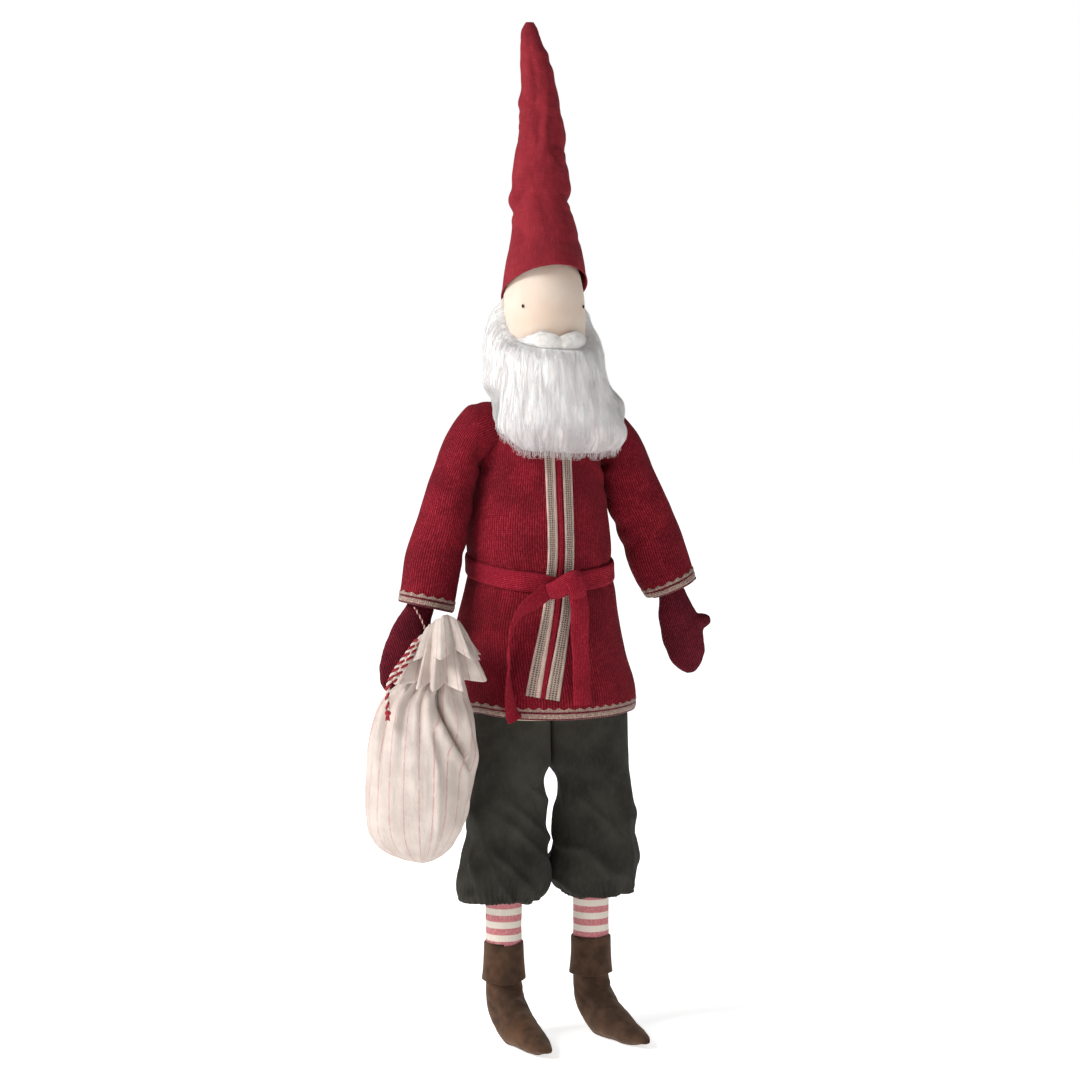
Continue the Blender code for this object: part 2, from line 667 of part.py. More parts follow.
def build_arm(side, sign, sleeve, mitten, thumb):
    joint = f"arm_{side}"
    flat = Vector((0, 1, 0))
    shell = [edge_ring(station, sign) for station in sleeve]
    loft(f"sleeve_{side}", shell, "crimson_knit", joint, ends="none", wall=KNIT)
    turned = Vector((0, 0, SHOULDER_STUB)), Vector((0, -sign * SHOULDER_STUB, 0))
    rings = [ellipse(Vector((sign * x, *SHOULDER.yz)), *turned, LIMB) for x in STUB_ENDS]
    rings += [edge_ring(station, sign, ARM_INSET) for station in sleeve[1:-1]]
    x, y, z, width, depth = mitten[0]
    wrist = Vector((sign * x, y, z + WRIST_GAP))
    rings.append(ellipse(wrist, Vector((sign * width, 0, 0)), Vector((0, -sign * depth, 0)), LIMB))
    loft(f"arm_{side}", rings, "body_linen", joint)
    length = (Vector(sleeve[-1][:2]) - Vector(sleeve[-2][:2])).length
    top = between(sleeve[-1], sleeve[-2], CUFF_TRIM / length)
    inner = [edge_ring(s, sign, -CUFF_GAP) for s in (sleeve[-1], top)]
    outer = [edge_ring(s, sign, -CUFF_GAP - TRIM) for s in (sleeve[-1], top)]
    band(f"cuff_trim_{side}", inner, outer, "beige_braid", joint)
    hand = loft(f"mitten_{side}", swept_rings(mirrored(mitten, sign), flat), "maroon_knit", joint)
    root, tip, radius = thumb
    thumb_path = [(*root.lerp(tip, way), radius * share, radius * share) for way, share in THUMB]
    cut(hand, cutter_from("thumb", loft_mesh(swept_rings(thumb_path, flat, sides=12))), "UNION")


# ---- legs ------------------------------------------------------------------------------------
def foot_solid(middle, heading, inset, foot):
    """The closed shape of a foot and shaft, shrunk by inset and cut flat at its foot."""
    side = Vector((cos(radians(heading)), sin(radians(heading)), 0))
    forwards = Vector((sin(radians(heading)), -cos(radians(heading)), 0))
    stations = [
        (*(middle + forwards * -ahead + Vector((0, 0, z - middle.z))), d, w) for ahead, z, w, d in FOOT
    ]
    bm = loft_mesh(swept_rings(stations, side, Vector((0, 0, -1)), LIMB, inset))
    low = Vector((0, 0, foot)) * MM
    found = bmesh.ops.bisect_plane(
        bm, geom=[*bm.verts, *bm.edges, *bm.faces], plane_co=low, plane_no=(0, 0, -1),
        clear_outer=True,
    )
    rim = [e for e in found["geom_cut"] if isinstance(e, bmesh.types.BMEdge)]
    bmesh.ops.contextual_create(bm, geom=rim)
    return bm


def build_leg(side, sign):
    joint = f"leg_{side}"
    heading = FOOT_HEADING[side]
    middle = Vector((sign * HIP.x + HIP_SHIFT, 0, 0))
    sections = [(z, middle.x + s, 0, w, d) for z, s, w, d in TROUSER]
    loft(f"trouser_leg_{side}", level_rings(sections, AROUND), "olive_cotton", joint,
         ends="none", wall=CLOTH)
    ring = [(z, middle.x, 0, ELASTIC_RADIUS, ELASTIC_RADIUS) for z in ELASTIC_HEIGHTS]
    band(f"trouser_elastic_{side}", level_rings(ring, LIMB, ELASTIC_THICKNESS), level_rings(ring, LIMB),
         "elastic", joint)
    stocking = [(z, middle.x, 0, w, d) for z, w, d in LEG]
    bm = foot_solid(middle, heading, BOOT_SKIN + 2 * GAP, SOLE_TOP + 2 * GAP + BOOT_SKIN)
    leg = loft(f"leg_{side}", level_rings(stocking, LIMB), "striped_jersey", joint)
    cut(leg, cutter_from("foot", bm), "UNION")
    boot = mesh_object(f"boot_{side}", foot_solid(middle, heading, 0, SOLE_TOP), "brown_suede", joint)
    hollow = foot_solid(middle, heading, BOOT_SKIN, SOLE_TOP + BOOT_SKIN)
    for vertex in hollow.verts:
        if vertex.co.z > BOOT_TOP * MM:
            vertex.co.z += HOLLOW_RISE * MM
    cut(boot, cutter_from("boot_hollow", hollow))
    (top, r_top), (bottom, r_bottom) = BOOT_CUFF
    ring = [(bottom, middle.x, 0, r_bottom, r_bottom), (top, middle.x, 0, r_top, r_top)]
    band(f"boot_cuff_{side}", level_rings(ring, LIMB, BOOT_CUFF_THICKNESS), level_rings(ring, LIMB),
         "brown_suede", joint)
    build_sole(side, middle, heading, joint)


def build_sole(side, middle, heading, joint):
    """A flat sole with the outline of the foot above it."""
    side_way = Vector((cos(radians(heading)), sin(radians(heading)), 0))
    forwards = Vector((sin(radians(heading)), -cos(radians(heading)), 0))
    left = [middle + forwards * a + side_way * w for a, w in SOLE_OUTLINE]
    right = [middle + forwards * a - side_way * w for a, w in SOLE_OUTLINE[1:-1]]
    loop = left + right[::-1]
    rings = [
        [Vector((p.x, p.y, z)) for p in loop] for z in (SOLE_TOP - GAP - SOLE_THICKNESS, SOLE_TOP - GAP)
    ]
    loft(f"boot_sole_{side}", rings, "brown_suede", joint)


# ---- sack ------------------------------------------------------------------------------------
def level_rings_both_ways(sections):
    """Level ellipses that all turn the same way, for a skin that runs up and then down."""
    return [
        ellipse(Vector((x, y, z)), Vector((w, 0, 0)), Vector((0, d, 0)), AROUND)
        for z, x, y, w, d in sections
    ]


def build_sack():
    loft("sack", level_rings_both_ways(SACK), "sack_cotton", "sack", ends="first", wall=CLOTH)
    foot, *filling = SACK[1:SACK_BODY_SECTIONS]
    filling.insert(0, (foot[0] + SACK_FILLING_RISE, *foot[1:]))
    loft("sack_filling", level_rings(filling, AROUND, CLOTH + SACK_FILLING_GAP), "stuffing", "sack")
    cord("drawstring_long", smooth_route(DRAWSTRING_LONG), CORD, "twisted_cord", "sack")
    cord("drawstring_short", smooth_route(DRAWSTRING_SHORT), CORD, "twisted_cord", "sack")
    tassel = Vector(DRAWSTRING_LONG[-1]) - Vector((0, 0, TASSEL_DROP))
    ball("drawstring_tassel", tassel, TASSEL_HALF, "red_yarn", "sack", 10, 8)
    cord("hanging_string", smooth_route(HANGING_STRING), STRING, "twisted_cord", "sack")
    width, depth = WRIST_LOOP_HALF
    turns = [2 * pi * i / WRIST_LOOP_STEPS for i in range(WRIST_LOOP_STEPS)]
    ring = [
        WRIST_LOOP + Vector((width * cos(t), depth * sin(t), -WRIST_LOOP_TILT * width * cos(t)))
        for t in turns
    ]
    cord("wrist_loop", ring, STRING, "twisted_cord", "arm_right", closed=True)


build_body()
build_trims()
build_belt()
build_head()
build_arm("left", 1, SLEEVE_LEFT, MITTEN_LEFT, THUMB_LEFT)
build_arm("right", -1, SLEEVE_RIGHT, MITTEN_RIGHT, THUMB_RIGHT)
for leg_side, leg_sign in (("left", 1), ("right", -1)):
    build_leg(leg_side, leg_sign)
build_sack()
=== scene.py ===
"""The soft textile tomte doll's looks: knits, wool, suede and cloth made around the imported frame.

The doll faces -Y and +Z is up.  Shapes are worked out in millimetres, on rings cast onto the
frame's own solids, and MM turns them into metres when a mesh is made.
"""
import json
import math

import bmesh
import bpy
import numpy as np
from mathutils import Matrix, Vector, noise
from mathutils.bvhtree import BVHTree


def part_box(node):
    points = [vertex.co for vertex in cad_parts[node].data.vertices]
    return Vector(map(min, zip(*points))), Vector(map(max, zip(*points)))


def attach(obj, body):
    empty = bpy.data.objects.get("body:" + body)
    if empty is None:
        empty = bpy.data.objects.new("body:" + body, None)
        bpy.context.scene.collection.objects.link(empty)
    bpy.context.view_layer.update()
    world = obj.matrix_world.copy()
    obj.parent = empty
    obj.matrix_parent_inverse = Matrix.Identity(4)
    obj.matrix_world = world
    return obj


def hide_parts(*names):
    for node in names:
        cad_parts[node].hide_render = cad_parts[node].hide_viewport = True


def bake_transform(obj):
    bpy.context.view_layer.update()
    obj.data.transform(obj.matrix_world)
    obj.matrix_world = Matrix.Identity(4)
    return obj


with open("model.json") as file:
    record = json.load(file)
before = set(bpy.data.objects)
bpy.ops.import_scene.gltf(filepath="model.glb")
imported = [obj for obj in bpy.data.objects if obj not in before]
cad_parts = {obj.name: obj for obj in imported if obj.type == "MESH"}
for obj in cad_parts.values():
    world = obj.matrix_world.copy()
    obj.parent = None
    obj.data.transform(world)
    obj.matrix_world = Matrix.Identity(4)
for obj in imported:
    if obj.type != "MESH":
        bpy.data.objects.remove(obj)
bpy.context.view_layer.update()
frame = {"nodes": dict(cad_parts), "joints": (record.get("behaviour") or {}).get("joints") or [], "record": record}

MM = 0.001
TAU = 2 * math.pi
UV = "cloth"                               # cloth coordinates: across and along, in metres
UP = np.array((0.0, 0.0, 1.0))
BACK = np.array((0.0, 1.0, 0.0))

# ---- camera: the picture's own view of the doll ------------------------------------------------
CAMERA_AZIMUTH = math.radians(-20)
CAMERA_HEIGHT = math.radians(3.5)
CAMERA_DISTANCE = 1.8
CAMERA_TARGET = Vector((0, 0, -0.1013))
CAMERA_LENS = 82.77


# ================================ numbers and grids ===========================================
def ease(low, high, x):
    """0 below low, 1 above high and a smooth step between them."""
    t = np.clip((np.asarray(x, float) - low) / (high - low), 0, 1)
    return t * t * (3 - 2 * t)


def hump(middle, width, x):
    """A bell of height 1."""
    return np.exp(-(((np.asarray(x, float) - middle) / width) ** 2))


def unit(v):
    """Vectors at length 1."""
    v = np.asarray(v, float)
    return v / np.linalg.norm(v, axis=-1, keepdims=True)


def joined(points, count):
    """count points, evenly spaced along one smooth curve through a route's own points."""
    way = np.asarray(points, float)
    way = np.vstack((2 * way[0] - way[1], way, 2 * way[-1] - way[-2]))
    fine = []
    for a, b, c, d in zip(way, way[1:], way[2:], way[3:]):
        t = np.linspace(0, 1, 24, endpoint=False)[:, None]
        fine.append(0.5 * (2 * b + (c - a) * t + (2 * a - 5 * b + 4 * c - d) * t ** 2
                           + (3 * b - a - 3 * c + d) * t ** 3))
    fine = np.vstack((*fine, way[-2:-1]))
    run = np.concatenate(([0], np.cumsum(np.linalg.norm(np.diff(fine, axis=0), axis=1))))
    at = np.linspace(0, run[-1], count)
    return np.stack([np.interp(at, run, fine[:, k]) for k in range(fine.shape[1])], axis=1)


def resampled(ring, count):
    """A closed ring of points read at count places, evenly by its own numbering."""
    wide = np.vstack((ring, ring[:1]))
    at = np.arange(count) * len(ring) / count
    return np.stack([np.interp(at, np.arange(len(wide)), wide[:, k]) for k in range(3)], axis=1)


def along_curve(keys, values, x):
    """A smooth curve through (key, value) pairs, read at x."""
    order = np.argsort(keys)
    keys, values = np.asarray(keys, float)[order], np.asarray(values, float)[order]
    slope = np.gradient(values, keys)
    i = np.clip(np.searchsorted(keys, x) - 1, 0, len(keys) - 2)
    h = keys[i + 1] - keys[i]
    t = np.clip((x - keys[i]) / h, 0, 1)
    return ((2 * t ** 3 - 3 * t ** 2 + 1) * values[i] + (t ** 3 - 2 * t ** 2 + t) * h * slope[i]
            + (3 * t ** 2 - 2 * t ** 3) * values[i + 1] + (t ** 3 - t ** 2) * h * slope[i + 1])


def grain(points, size, seed=0):
    """Smooth noise from -1 to 1 over points in millimetres, with lumps of about that size."""
    shift = Vector((17.3 * seed, 5.1 * seed, -9.7 * seed))
    flat = np.asarray(points, float).reshape(-1, 3) / size
    return np.array([noise.noise(Vector(p) + shift) for p in flat]).reshape(np.shape(points)[:-1])


def ray_tree(*meshes):
    """A tree for casting rays onto meshes, in millimetres."""
    points, faces = [], []
    for mesh in meshes:
        start = len(points)
        points += [v.co / MM for v in mesh.vertices]
        faces += [[start + i for i in f.vertices] for f in mesh.polygons]
    return BVHTree.FromPolygons(points, faces)


def box_mm(node):
    """The corners of a CAD node's box, in millimetres."""
    low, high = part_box(node)
    return np.array(low) / MM, np.array(high) / MM


def middle_of(node):
    """The middle of a CAD node's box, in millimetres."""
    low, high = box_mm(node)
    return (low + high) / 2


def blurred(values, rows, cols, closed=True):
    """Values on a grid smoothed along its rows and columns; the columns can run round."""
    out = values
    for axis, spread in ((0, rows), (1, cols)):
        if spread <= 0:
            continue
        reach = int(3 * spread) + 1
        weights = np.exp(-0.5 * (np.arange(-reach, reach + 1) / spread) ** 2)
        weights /= weights.sum()
        pad = [(0, 0)] * out.ndim
        pad[axis] = (reach, reach)
        wide = np.pad(out, pad, mode="wrap" if axis == 1 and closed else "reflect",
                      **({} if axis == 1 and closed else {"reflect_type": "odd"}))
        out = sum(w * np.take(wide, np.arange(k, k + values.shape[axis]), axis=axis)
                  for k, w in enumerate(weights))
    return out


def filled(radius):
    """A grid of radii with its holes filled from their neighbours."""
    cols = radius.shape[1]
    for row in radius:
        good = np.flatnonzero(~np.isnan(row))
        if 0 < len(good) < cols:
            wide = np.concatenate((good - cols, good, good + cols))
            row[:] = np.interp(np.arange(cols), wide, np.tile(row[good], 3))
    good = [i for i, row in enumerate(radius) if not np.isnan(row).any()]
    for i, row in enumerate(radius):
        if i not in good:
            row[:] = radius[min(good, key=lambda g: abs(g - i))]
    return radius


def wrapped(nodes, centres, across, along, cols, smooth=(1.5, 4.0), reach=150.0, least=0.0):
    """Rings on the outside of CAD nodes, in the planes of across and along around the centres."""
    tree = ray_tree(*(frame["nodes"][name].data for name in nodes))
    turn = TAU * np.arange(cols) / cols
    ways = across[:, None] * np.cos(turn)[:, None] + along[:, None] * np.sin(turn)[:, None]
    radius = np.full((len(centres), cols), np.nan)
    for i, middle in enumerate(centres):
        for j in range(cols):
            way = Vector(ways[i, j])
            hit = tree.ray_cast(Vector(middle) + way * reach, -way, reach)
            if hit[0] is not None and reach - hit[3] > least:
                radius[i, j] = reach - hit[3]
    radius = blurred(filled(radius), *smooth)
    return centres[:, None] + radius[..., None] * ways


def level_rings(z, x=0.0, y=0.0):
    """Centres and directions for rings at heights z, which start behind and go by the doll's right."""
    z = np.asarray(z, float)
    centres = np.stack((np.broadcast_to(x, z.shape), np.broadcast_to(y, z.shape), z), axis=1)
    count = len(z)
    return centres, np.tile((0, 1.0, 0), (count, 1)), np.tile((-1.0, 0, 0), (count, 1))


def normals(grid, closed=True):
    """Outward normals of a grid whose rows run down and columns anticlockwise from above."""
    if closed:
        side = np.roll(grid, -1, axis=1) - np.roll(grid, 1, axis=1)
    else:
        side = np.gradient(grid, axis=1)
    down = np.gradient(grid, axis=0)
    return unit(np.cross(down, side) + 1e-12)


def pushed(grid, amount, closed=True):
    """A grid moved along its normals."""
    return grid + normals(grid, closed) * np.asarray(amount)[..., None]


def run_lengths(grid, closed=True):
    """How far each point lies across and along the cloth, in millimetres, as a UV grid."""
    wide = np.concatenate((grid, grid[:, :1]), axis=1) if closed else grid
    steps = np.linalg.norm(np.diff(wide, axis=1), axis=2)
    across = np.concatenate((np.zeros((len(grid), 1)), np.cumsum(steps, axis=1)), axis=1)
    if closed:
        whole = np.median(across[:, -1])
        across = across * (whole / np.maximum(across[:, -1:], 1e-6))
    drops = np.linalg.norm(np.diff(grid, axis=0), axis=2).mean(axis=1)
    along = -np.concatenate(([0], np.cumsum(drops)))
    return np.stack((across, np.broadcast_to(along[:, None], across.shape)), axis=2)


# ================================ making pieces ===============================================
def new_object(name, mesh, finish):
    """A smooth object in the scene, with one finish or a list of them."""
    piece = bpy.data.objects.new(name, mesh)
    bpy.context.scene.collection.objects.link(piece)
    mesh.materials.clear()
    for one in finish if isinstance(finish, (list, tuple)) else [finish]:
        mesh.materials.append(one)
    mesh.shade_smooth()
    return piece


def baked(name, bm):
    """A mesh from a finished bmesh."""
    mesh = bpy.data.meshes.new(name)
    bm.to_mesh(mesh)
    bm.free()
    return mesh


def mesh_of(name, points, faces, uvs=None):
    """A mesh from millimetre points, with cloth coordinates for each face corner."""
    mesh = bpy.data.meshes.new(name)
    mesh.from_pydata([tuple(p) for p in np.asarray(points, float) * MM], [], faces)
    layer = mesh.uv_layers.new(name=UV)
    if uvs is not None:
        layer.data.foreach_set("uv", (np.asarray(uvs, float) * MM).astype(np.float32).ravel())
    mesh.update()
    return mesh


def ring_faces(rows, cols, start=0):
    """The faces between the rings of a tube whose points are numbered from start."""
    return [(start + i * cols + j, start + (i + 1) * cols + j,
             start + (i + 1) * cols + (j + 1) % cols, start + i * cols + (j + 1) % cols)
            for i in range(rows - 1) for j in range(cols)]


def grid_mesh(name, grid, closed=True, uv=None, caps=(False, False)):
    """A sheet or tube from a grid of points; caps close a tube's first or last ring."""
    rows, cols = grid.shape[:2]
    uv = run_lengths(grid, closed) if uv is None else uv
    points = grid.reshape(-1, 3)
    faces, corners = [], []
    for i in range(rows - 1):
        for j in range(cols if closed else cols - 1):
            k = (j + 1) % cols
            faces.append((i * cols + j, (i + 1) * cols + j, (i + 1) * cols + k, i * cols + k))
            corners += [uv[i, j], uv[i + 1, j], uv[i + 1, j + 1], uv[i, j + 1]]
    for wanted, row, order in ((caps[0], 0, 1), (caps[1], rows - 1, -1)):
        if wanted:
            middle = grid[row].mean(axis=0)
            points = np.vstack((points, middle))
            for j in range(cols):
                pair = (row * cols + j, row * cols + (j + 1) % cols)[::order]
                faces.append((*pair, len(points) - 1))
                corners += [uv[row, j], uv[row, j + 1], uv[row, j]]
    return mesh_of(name, points, faces, corners)


def sheet_piece(name, grid, finish, closed=True, uv=None, caps=(False, False), thick=0.0, subdivide=0):
    """A piece from a grid; thick gives it that thickness in millimetres, inwards."""
    piece = new_object(name, grid_mesh(name, grid, closed, uv, caps), finish)
    if thick:
        wall = piece.modifiers.new("thickness", "SOLIDIFY")
        wall.thickness = thick * MM
        wall.offset = -1
    if subdivide:
        finer = piece.modifiers.new("finer", "SUBSURF")
        finer.levels = finer.render_levels = subdivide
    return piece


def settled(piece):
    """The piece with its modifiers applied."""
    graph = bpy.context.evaluated_depsgraph_get()
    mesh = bpy.data.meshes.new_from_object(piece.evaluated_get(graph))
    piece.modifiers.clear()
    old, piece.data = piece.data, mesh
    bpy.data.meshes.remove(old)
    piece.data.shade_smooth()
    return piece


def steady_sides(way):
    """A direction square to a route at each of its points, turning as little as it can."""
    side = np.cross(way[0], UP if abs(way[0][2]) < 0.9 else BACK)
    found = []
    for w in way:
        side = unit(side - w * (side @ w))
        found.append(side)
    return np.array(found)


def tube_grid(path, radius, sides):
    """Rings of a round tube along a path; radius is one number or one for each point."""
    path = np.asarray(path, float)
    way = unit(np.gradient(path, axis=0))
    sides_way = steady_sides(way)
    other = np.cross(sides_way, way)
    t = TAU * np.arange(sides) / sides
    radius = np.broadcast_to(radius, len(path))[:, None, None]
    return path[:, None] + radius * (sides_way[:, None] * np.cos(t)[:, None]
                                     + other[:, None] * np.sin(t)[:, None])


def belongs(piece, body, slot, *nodes):
    """The piece rides on a body and stands for CAD nodes, which it hides; slot is not used."""
    if nodes:
        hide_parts(*nodes)
    if body:
        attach(piece, body)
    return piece


def dressed(name, grid, finish, body, *nodes, slot=None, **shape):
    """A piece from a grid that rides on a body; slot is handed on but not used."""
    return belongs(sheet_piece(name, grid, finishes[finish], **shape), body, slot or finish, *nodes)


LONGEST_RAY = 200.0                        # past the far side of any piece


def laid_on(tree, starts, ways, lift):
    """Where rays from starts meet a surface, lifted off it; a miss takes its neighbour's hit."""
    shape = starts.shape[:-1]
    flat_lift = np.broadcast_to(lift, shape).ravel()
    found, last = [], None
    for start, way, up in zip(starts.reshape(-1, 3), ways.reshape(-1, 3), flat_lift):
        hit, normal, _, _ = tree.ray_cast(Vector(start), Vector(way), LONGEST_RAY)
        if hit is not None:
            if normal.dot(Vector(way)) > 0:
                normal = -normal
            last = np.array(hit + normal * up)
        found.append(last if last is not None else start)
    return np.array(found).reshape(*shape, 3)


# ================================ finishes ====================================================
STRIPE_PITCH = 8.4                         # between the sack's stripes
STRIPE_SHARE = 0.14                        # of the pitch that a stripe takes
STRIPE_SHIFT = 2.0                         # sideways, to where the picture has them
HEM_ROWS = (0.8, 4.0, 5.6)                 # where the hem's bands meet, above its edge
BRAID_SPECK = 1.55                         # from one speck of the placket's braid to the next


class Finish:
    """A material whose nodes are built up by short calls; lengths are in millimetres."""

    def __init__(self, name, roughness, sheen=0.0, tint=(1, 1, 1), subsurface=0.0):
        self.material = bpy.data.materials.new(name)
        self.material.use_nodes = True
        self.tree = self.material.node_tree
        self.shader = self.tree.nodes["Principled BSDF"]
        self.shader.inputs["Roughness"].default_value = roughness
        self.shader.inputs["Specular IOR Level"].default_value = 0.12
        self.shader.inputs["Sheen Weight"].default_value = sheen
        self.shader.inputs["Sheen Roughness"].default_value = 0.5
        self.shader.inputs["Sheen Tint"].default_value = (*tint, 1)
        if subsurface:
            self.shader.inputs["Subsurface Weight"].default_value = subsurface
            self.shader.inputs["Subsurface Radius"].default_value = (1.0, 0.75, 0.6)
            self.shader.inputs["Subsurface Scale"].default_value = 0.004
        self.object = self.tree.nodes.new("ShaderNodeTexCoord").outputs["Object"]
        cloth = self.tree.nodes.new("ShaderNodeUVMap")
        cloth.uv_map = UV
        self.cloth = cloth.outputs["UV"]
        split = self.tree.nodes.new("ShaderNodeSeparateXYZ")
        self.tree.links.new(self.cloth, split.inputs[0])
        self.across, self.along = split.outputs[0], split.outputs[1]

    def put(self, socket, value):
        if isinstance(value, bpy.types.NodeSocket):
            self.tree.links.new(value, socket)
        elif value is not None:
            socket.default_value = value

    def math(self, operation, a, b=None, c=None):
        node = self.tree.nodes.new("ShaderNodeMath")
        node.operation = operation
        for socket, value in zip(node.inputs, (a, b, c)):
            self.put(socket, value)
        return node.outputs[0]

    def times(self, a, b):
        return self.math("MULTIPLY", a, b)

    def plus(self, a, b):
        return self.math("ADD", a, b)

    def noise(self, size, detail=3.0, stretch=(1, 1, 1), vector=None, rough=0.55):
        """Noise from 0 to 1 with lumps of about size, longer along the axes of stretch."""
        place = self.tree.nodes.new("ShaderNodeMapping")
        place.inputs["Scale"].default_value = [1 / (size * MM * s) for s in stretch]
        self.put(place.inputs[0], self.object if vector is None else vector)
        node = self.tree.nodes.new("ShaderNodeTexNoise")
        node.inputs["Scale"].default_value = 1.0
        node.inputs["Detail"].default_value = detail
        node.inputs["Roughness"].default_value = rough
        self.put(node.inputs["Vector"], place.outputs[0])
        return node.outputs["Fac"]

    def step(self, value, low, high):
        """0 below low, 1 above high; the other way round if low is above high."""
        node = self.tree.nodes.new("ShaderNodeMapRange")
        node.interpolation_type = "SMOOTHSTEP"
        self.put(node.inputs["Value"], value)
        flip = low > high
        node.inputs["From Min"].default_value = min(low, high)
        node.inputs["From Max"].default_value = max(low, high)
        node.inputs["To Min"].default_value = 1.0 if flip else 0.0
        node.inputs["To Max"].default_value = 0.0 if flip else 1.0
        return node.outputs[0]

    def mix(self, share, a, b):
        """Colour a where share is 0, b where it is 1."""
        node = self.tree.nodes.new("ShaderNodeMix")
        node.data_type = "RGBA"
        self.put(node.inputs[0], share)
        for index, colour in ((6, a), (7, b)):
            self.put(node.inputs[index], (*colour, 1) if isinstance(colour, tuple) else colour)
        return node.outputs[2]

    def wave(self, value, length):
        """A wave from 0 to 1 of that length."""
        turned = self.times(value, TAU / (length * MM))
        return self.math("MULTIPLY_ADD", self.math("SINE", turned), 0.5, 0.5)

    def ramp(self, value, length):
        """0 at the edges of each stripe of that width, 1 in its middle, in straight slopes."""
        return self.math("PINGPONG", self.math("DIVIDE", value, length * MM / 2), 1.0)

    def colour(self, value):
        self.put(self.shader.inputs["Base Color"], value)

    def bumps(self, *heights):
        """Bump from (height, depth in mm) pairs, laid one over another."""
        last = None
        for height, depth in heights:
            node = self.tree.nodes.new("ShaderNodeBump")
            node.inputs["Distance"].default_value = depth * MM
            self.put(node.inputs["Height"], height)
            self.put(node.inputs["Normal"], last)
            last = node.outputs[0]
        self.put(self.shader.inputs["Normal"], last)
        return self.material


def knit(name, deep, middle, light, wale, course):
    """Stocking stitch: ribs of wale's width along the cloth, each a row of V-shaped loops."""
    f = Finish(name, 0.95, 0.04, tint=tuple(min(1.0, 3 * c + 0.15) for c in light))
    rib = f.ramp(f.across, wale)
    leaning = f.plus(f.times(rib, 0.55 * course * MM), f.along)
    loop = f.wave(leaning, course)
    height = f.times(f.math("POWER", rib, 0.55), f.math("MULTIPLY_ADD", loop, 0.45, 0.55))
    fleck = f.step(f.noise(1.3, 2, (0.7, 0.7, 1.7)), 0.42, 0.68)
    patch = f.noise(26, 3)
    ground = f.mix(fleck, middle, light)
    ground = f.mix(f.step(patch, 0.35, 0.7), f.mix(0.35, ground, deep), ground)
    # painted shade: where the stitch's bump is lowest, in the gaps between the loops, the colour turns to deep
    f.colour(f.mix(f.step(height, 0.55, 0.1), ground, deep))
    return f.bumps((height, 0.45), (f.noise(0.5, 2), 0.12))


def woven(name, deep, middle, light, thread):
    """Plain weave with slubs: threads of that pitch both ways."""
    f = Finish(name, 0.9, 0.05, tint=tuple(min(1.0, 2.5 * c + 0.2) for c in light))
    warp, weft = f.wave(f.across, 2 * thread), f.wave(f.along, 2 * thread)
    over = f.math("ABSOLUTE", f.math("SUBTRACT", warp, weft))
    streak_up = f.noise(0.8, 2, (1, 14, 1), f.cloth)
    streak_side = f.noise(0.8, 2, (14, 1, 1), f.cloth)
    streak = f.math("MAXIMUM", f.step(streak_up, 0.5, 0.75), f.step(streak_side, 0.52, 0.78))
    ground = f.mix(f.step(f.noise(22, 4), 0.3, 0.7), f.mix(0.3, middle, deep), middle)
    ground = f.mix(f.times(streak, 0.5), ground, light)
    # painted shade: where the weave's bump is lowest, the colour is darkened halfway towards deep
    f.colour(f.mix(f.step(over, 0.25, 0.0), ground, f.mix(0.5, ground, deep)))
    crumple = f.noise(7, 4, (1.3, 1.3, 0.8))
    return f.bumps((over, 0.12), (streak, 0.10), (crumple, 1.1), (f.noise(0.6, 3), 0.08))


def brushed_twill(name, deep, middle, light):
    """Brushed cotton twill; the raised specks of its nap are painted paler, a painted highlight."""
    f = Finish(name, 0.92, 0.08, tint=(0.5, 0.48, 0.42))
    slant = f.plus(f.across, f.along)
    rib = f.wave(slant, 0.9)
    nap = f.noise(2.2, 5, (1, 1, 2.2))
    cloud = f.noise(34, 4)
    ground = f.mix(f.step(cloud, 0.3, 0.72), deep, middle)
    # painted highlight: the raised specks of the nap, the same noise as its bump, are lightened a little towards
    # the pale olive
    ground = f.mix(f.times(f.step(nap, 0.45, 0.75), 0.15), ground, light)
    f.colour(f.mix(f.times(rib, 0.18), ground, deep))
    return f.bumps((rib, 0.10), (nap, 0.12), (f.noise(7, 4), 0.6), (f.noise(0.5, 2), 0.08))


def suede(name, deep, middle, warm):
    """Brushed leather with darker clouds and warmer rubbed places."""
    f = Finish(name, 0.88, 0.3, tint=(0.6, 0.45, 0.35))
    cloud = f.noise(11, 5, rough=0.6)
    rub = f.noise(24, 3, (1, 1, 1.6))
    nap = f.noise(0.7, 4)
    ground = f.mix(f.step(cloud, 0.36, 0.66), deep, middle)
    ground = f.mix(f.times(f.step(rub, 0.45, 0.75), 0.7), ground, warm)
    f.colour(f.mix(f.times(f.step(nap, 0.5, 0.75), 0.25), ground, deep))
    return f.bumps((cloud, 0.4), (nap, 0.14))


def striped_jersey(name, pink, cream, width):
    """Level stripes of two colours, each of that width."""
    f = Finish(name, 0.85, 0.2)
    rib = f.ramp(f.across, 1.1)
    loop = f.wave(f.along, 0.9)
    height = f.times(f.math("POWER", rib, 0.6), f.math("MULTIPLY_ADD", loop, 0.4, 0.6))
    wobble = f.times(f.math("SUBTRACT", f.noise(2.0, 2, vector=f.cloth), 0.5), 0.5 * MM)
    band = f.wave(f.plus(f.along, wobble), 2 * width)
    ground = f.mix(f.step(band, 0.44, 0.56), cream, pink)
    ground = f.mix(f.times(f.step(f.noise(1.2, 2), 0.4, 0.7), 0.25), ground, cream)
    # painted shade: the low gaps between the loops, where the bump is lowest, are darkened towards a dark red
    f.colour(f.mix(f.times(f.step(height, 0.4, 0.0), 0.35), ground, (0.25, 0.10, 0.10)))
    return f.bumps((height, 0.22))


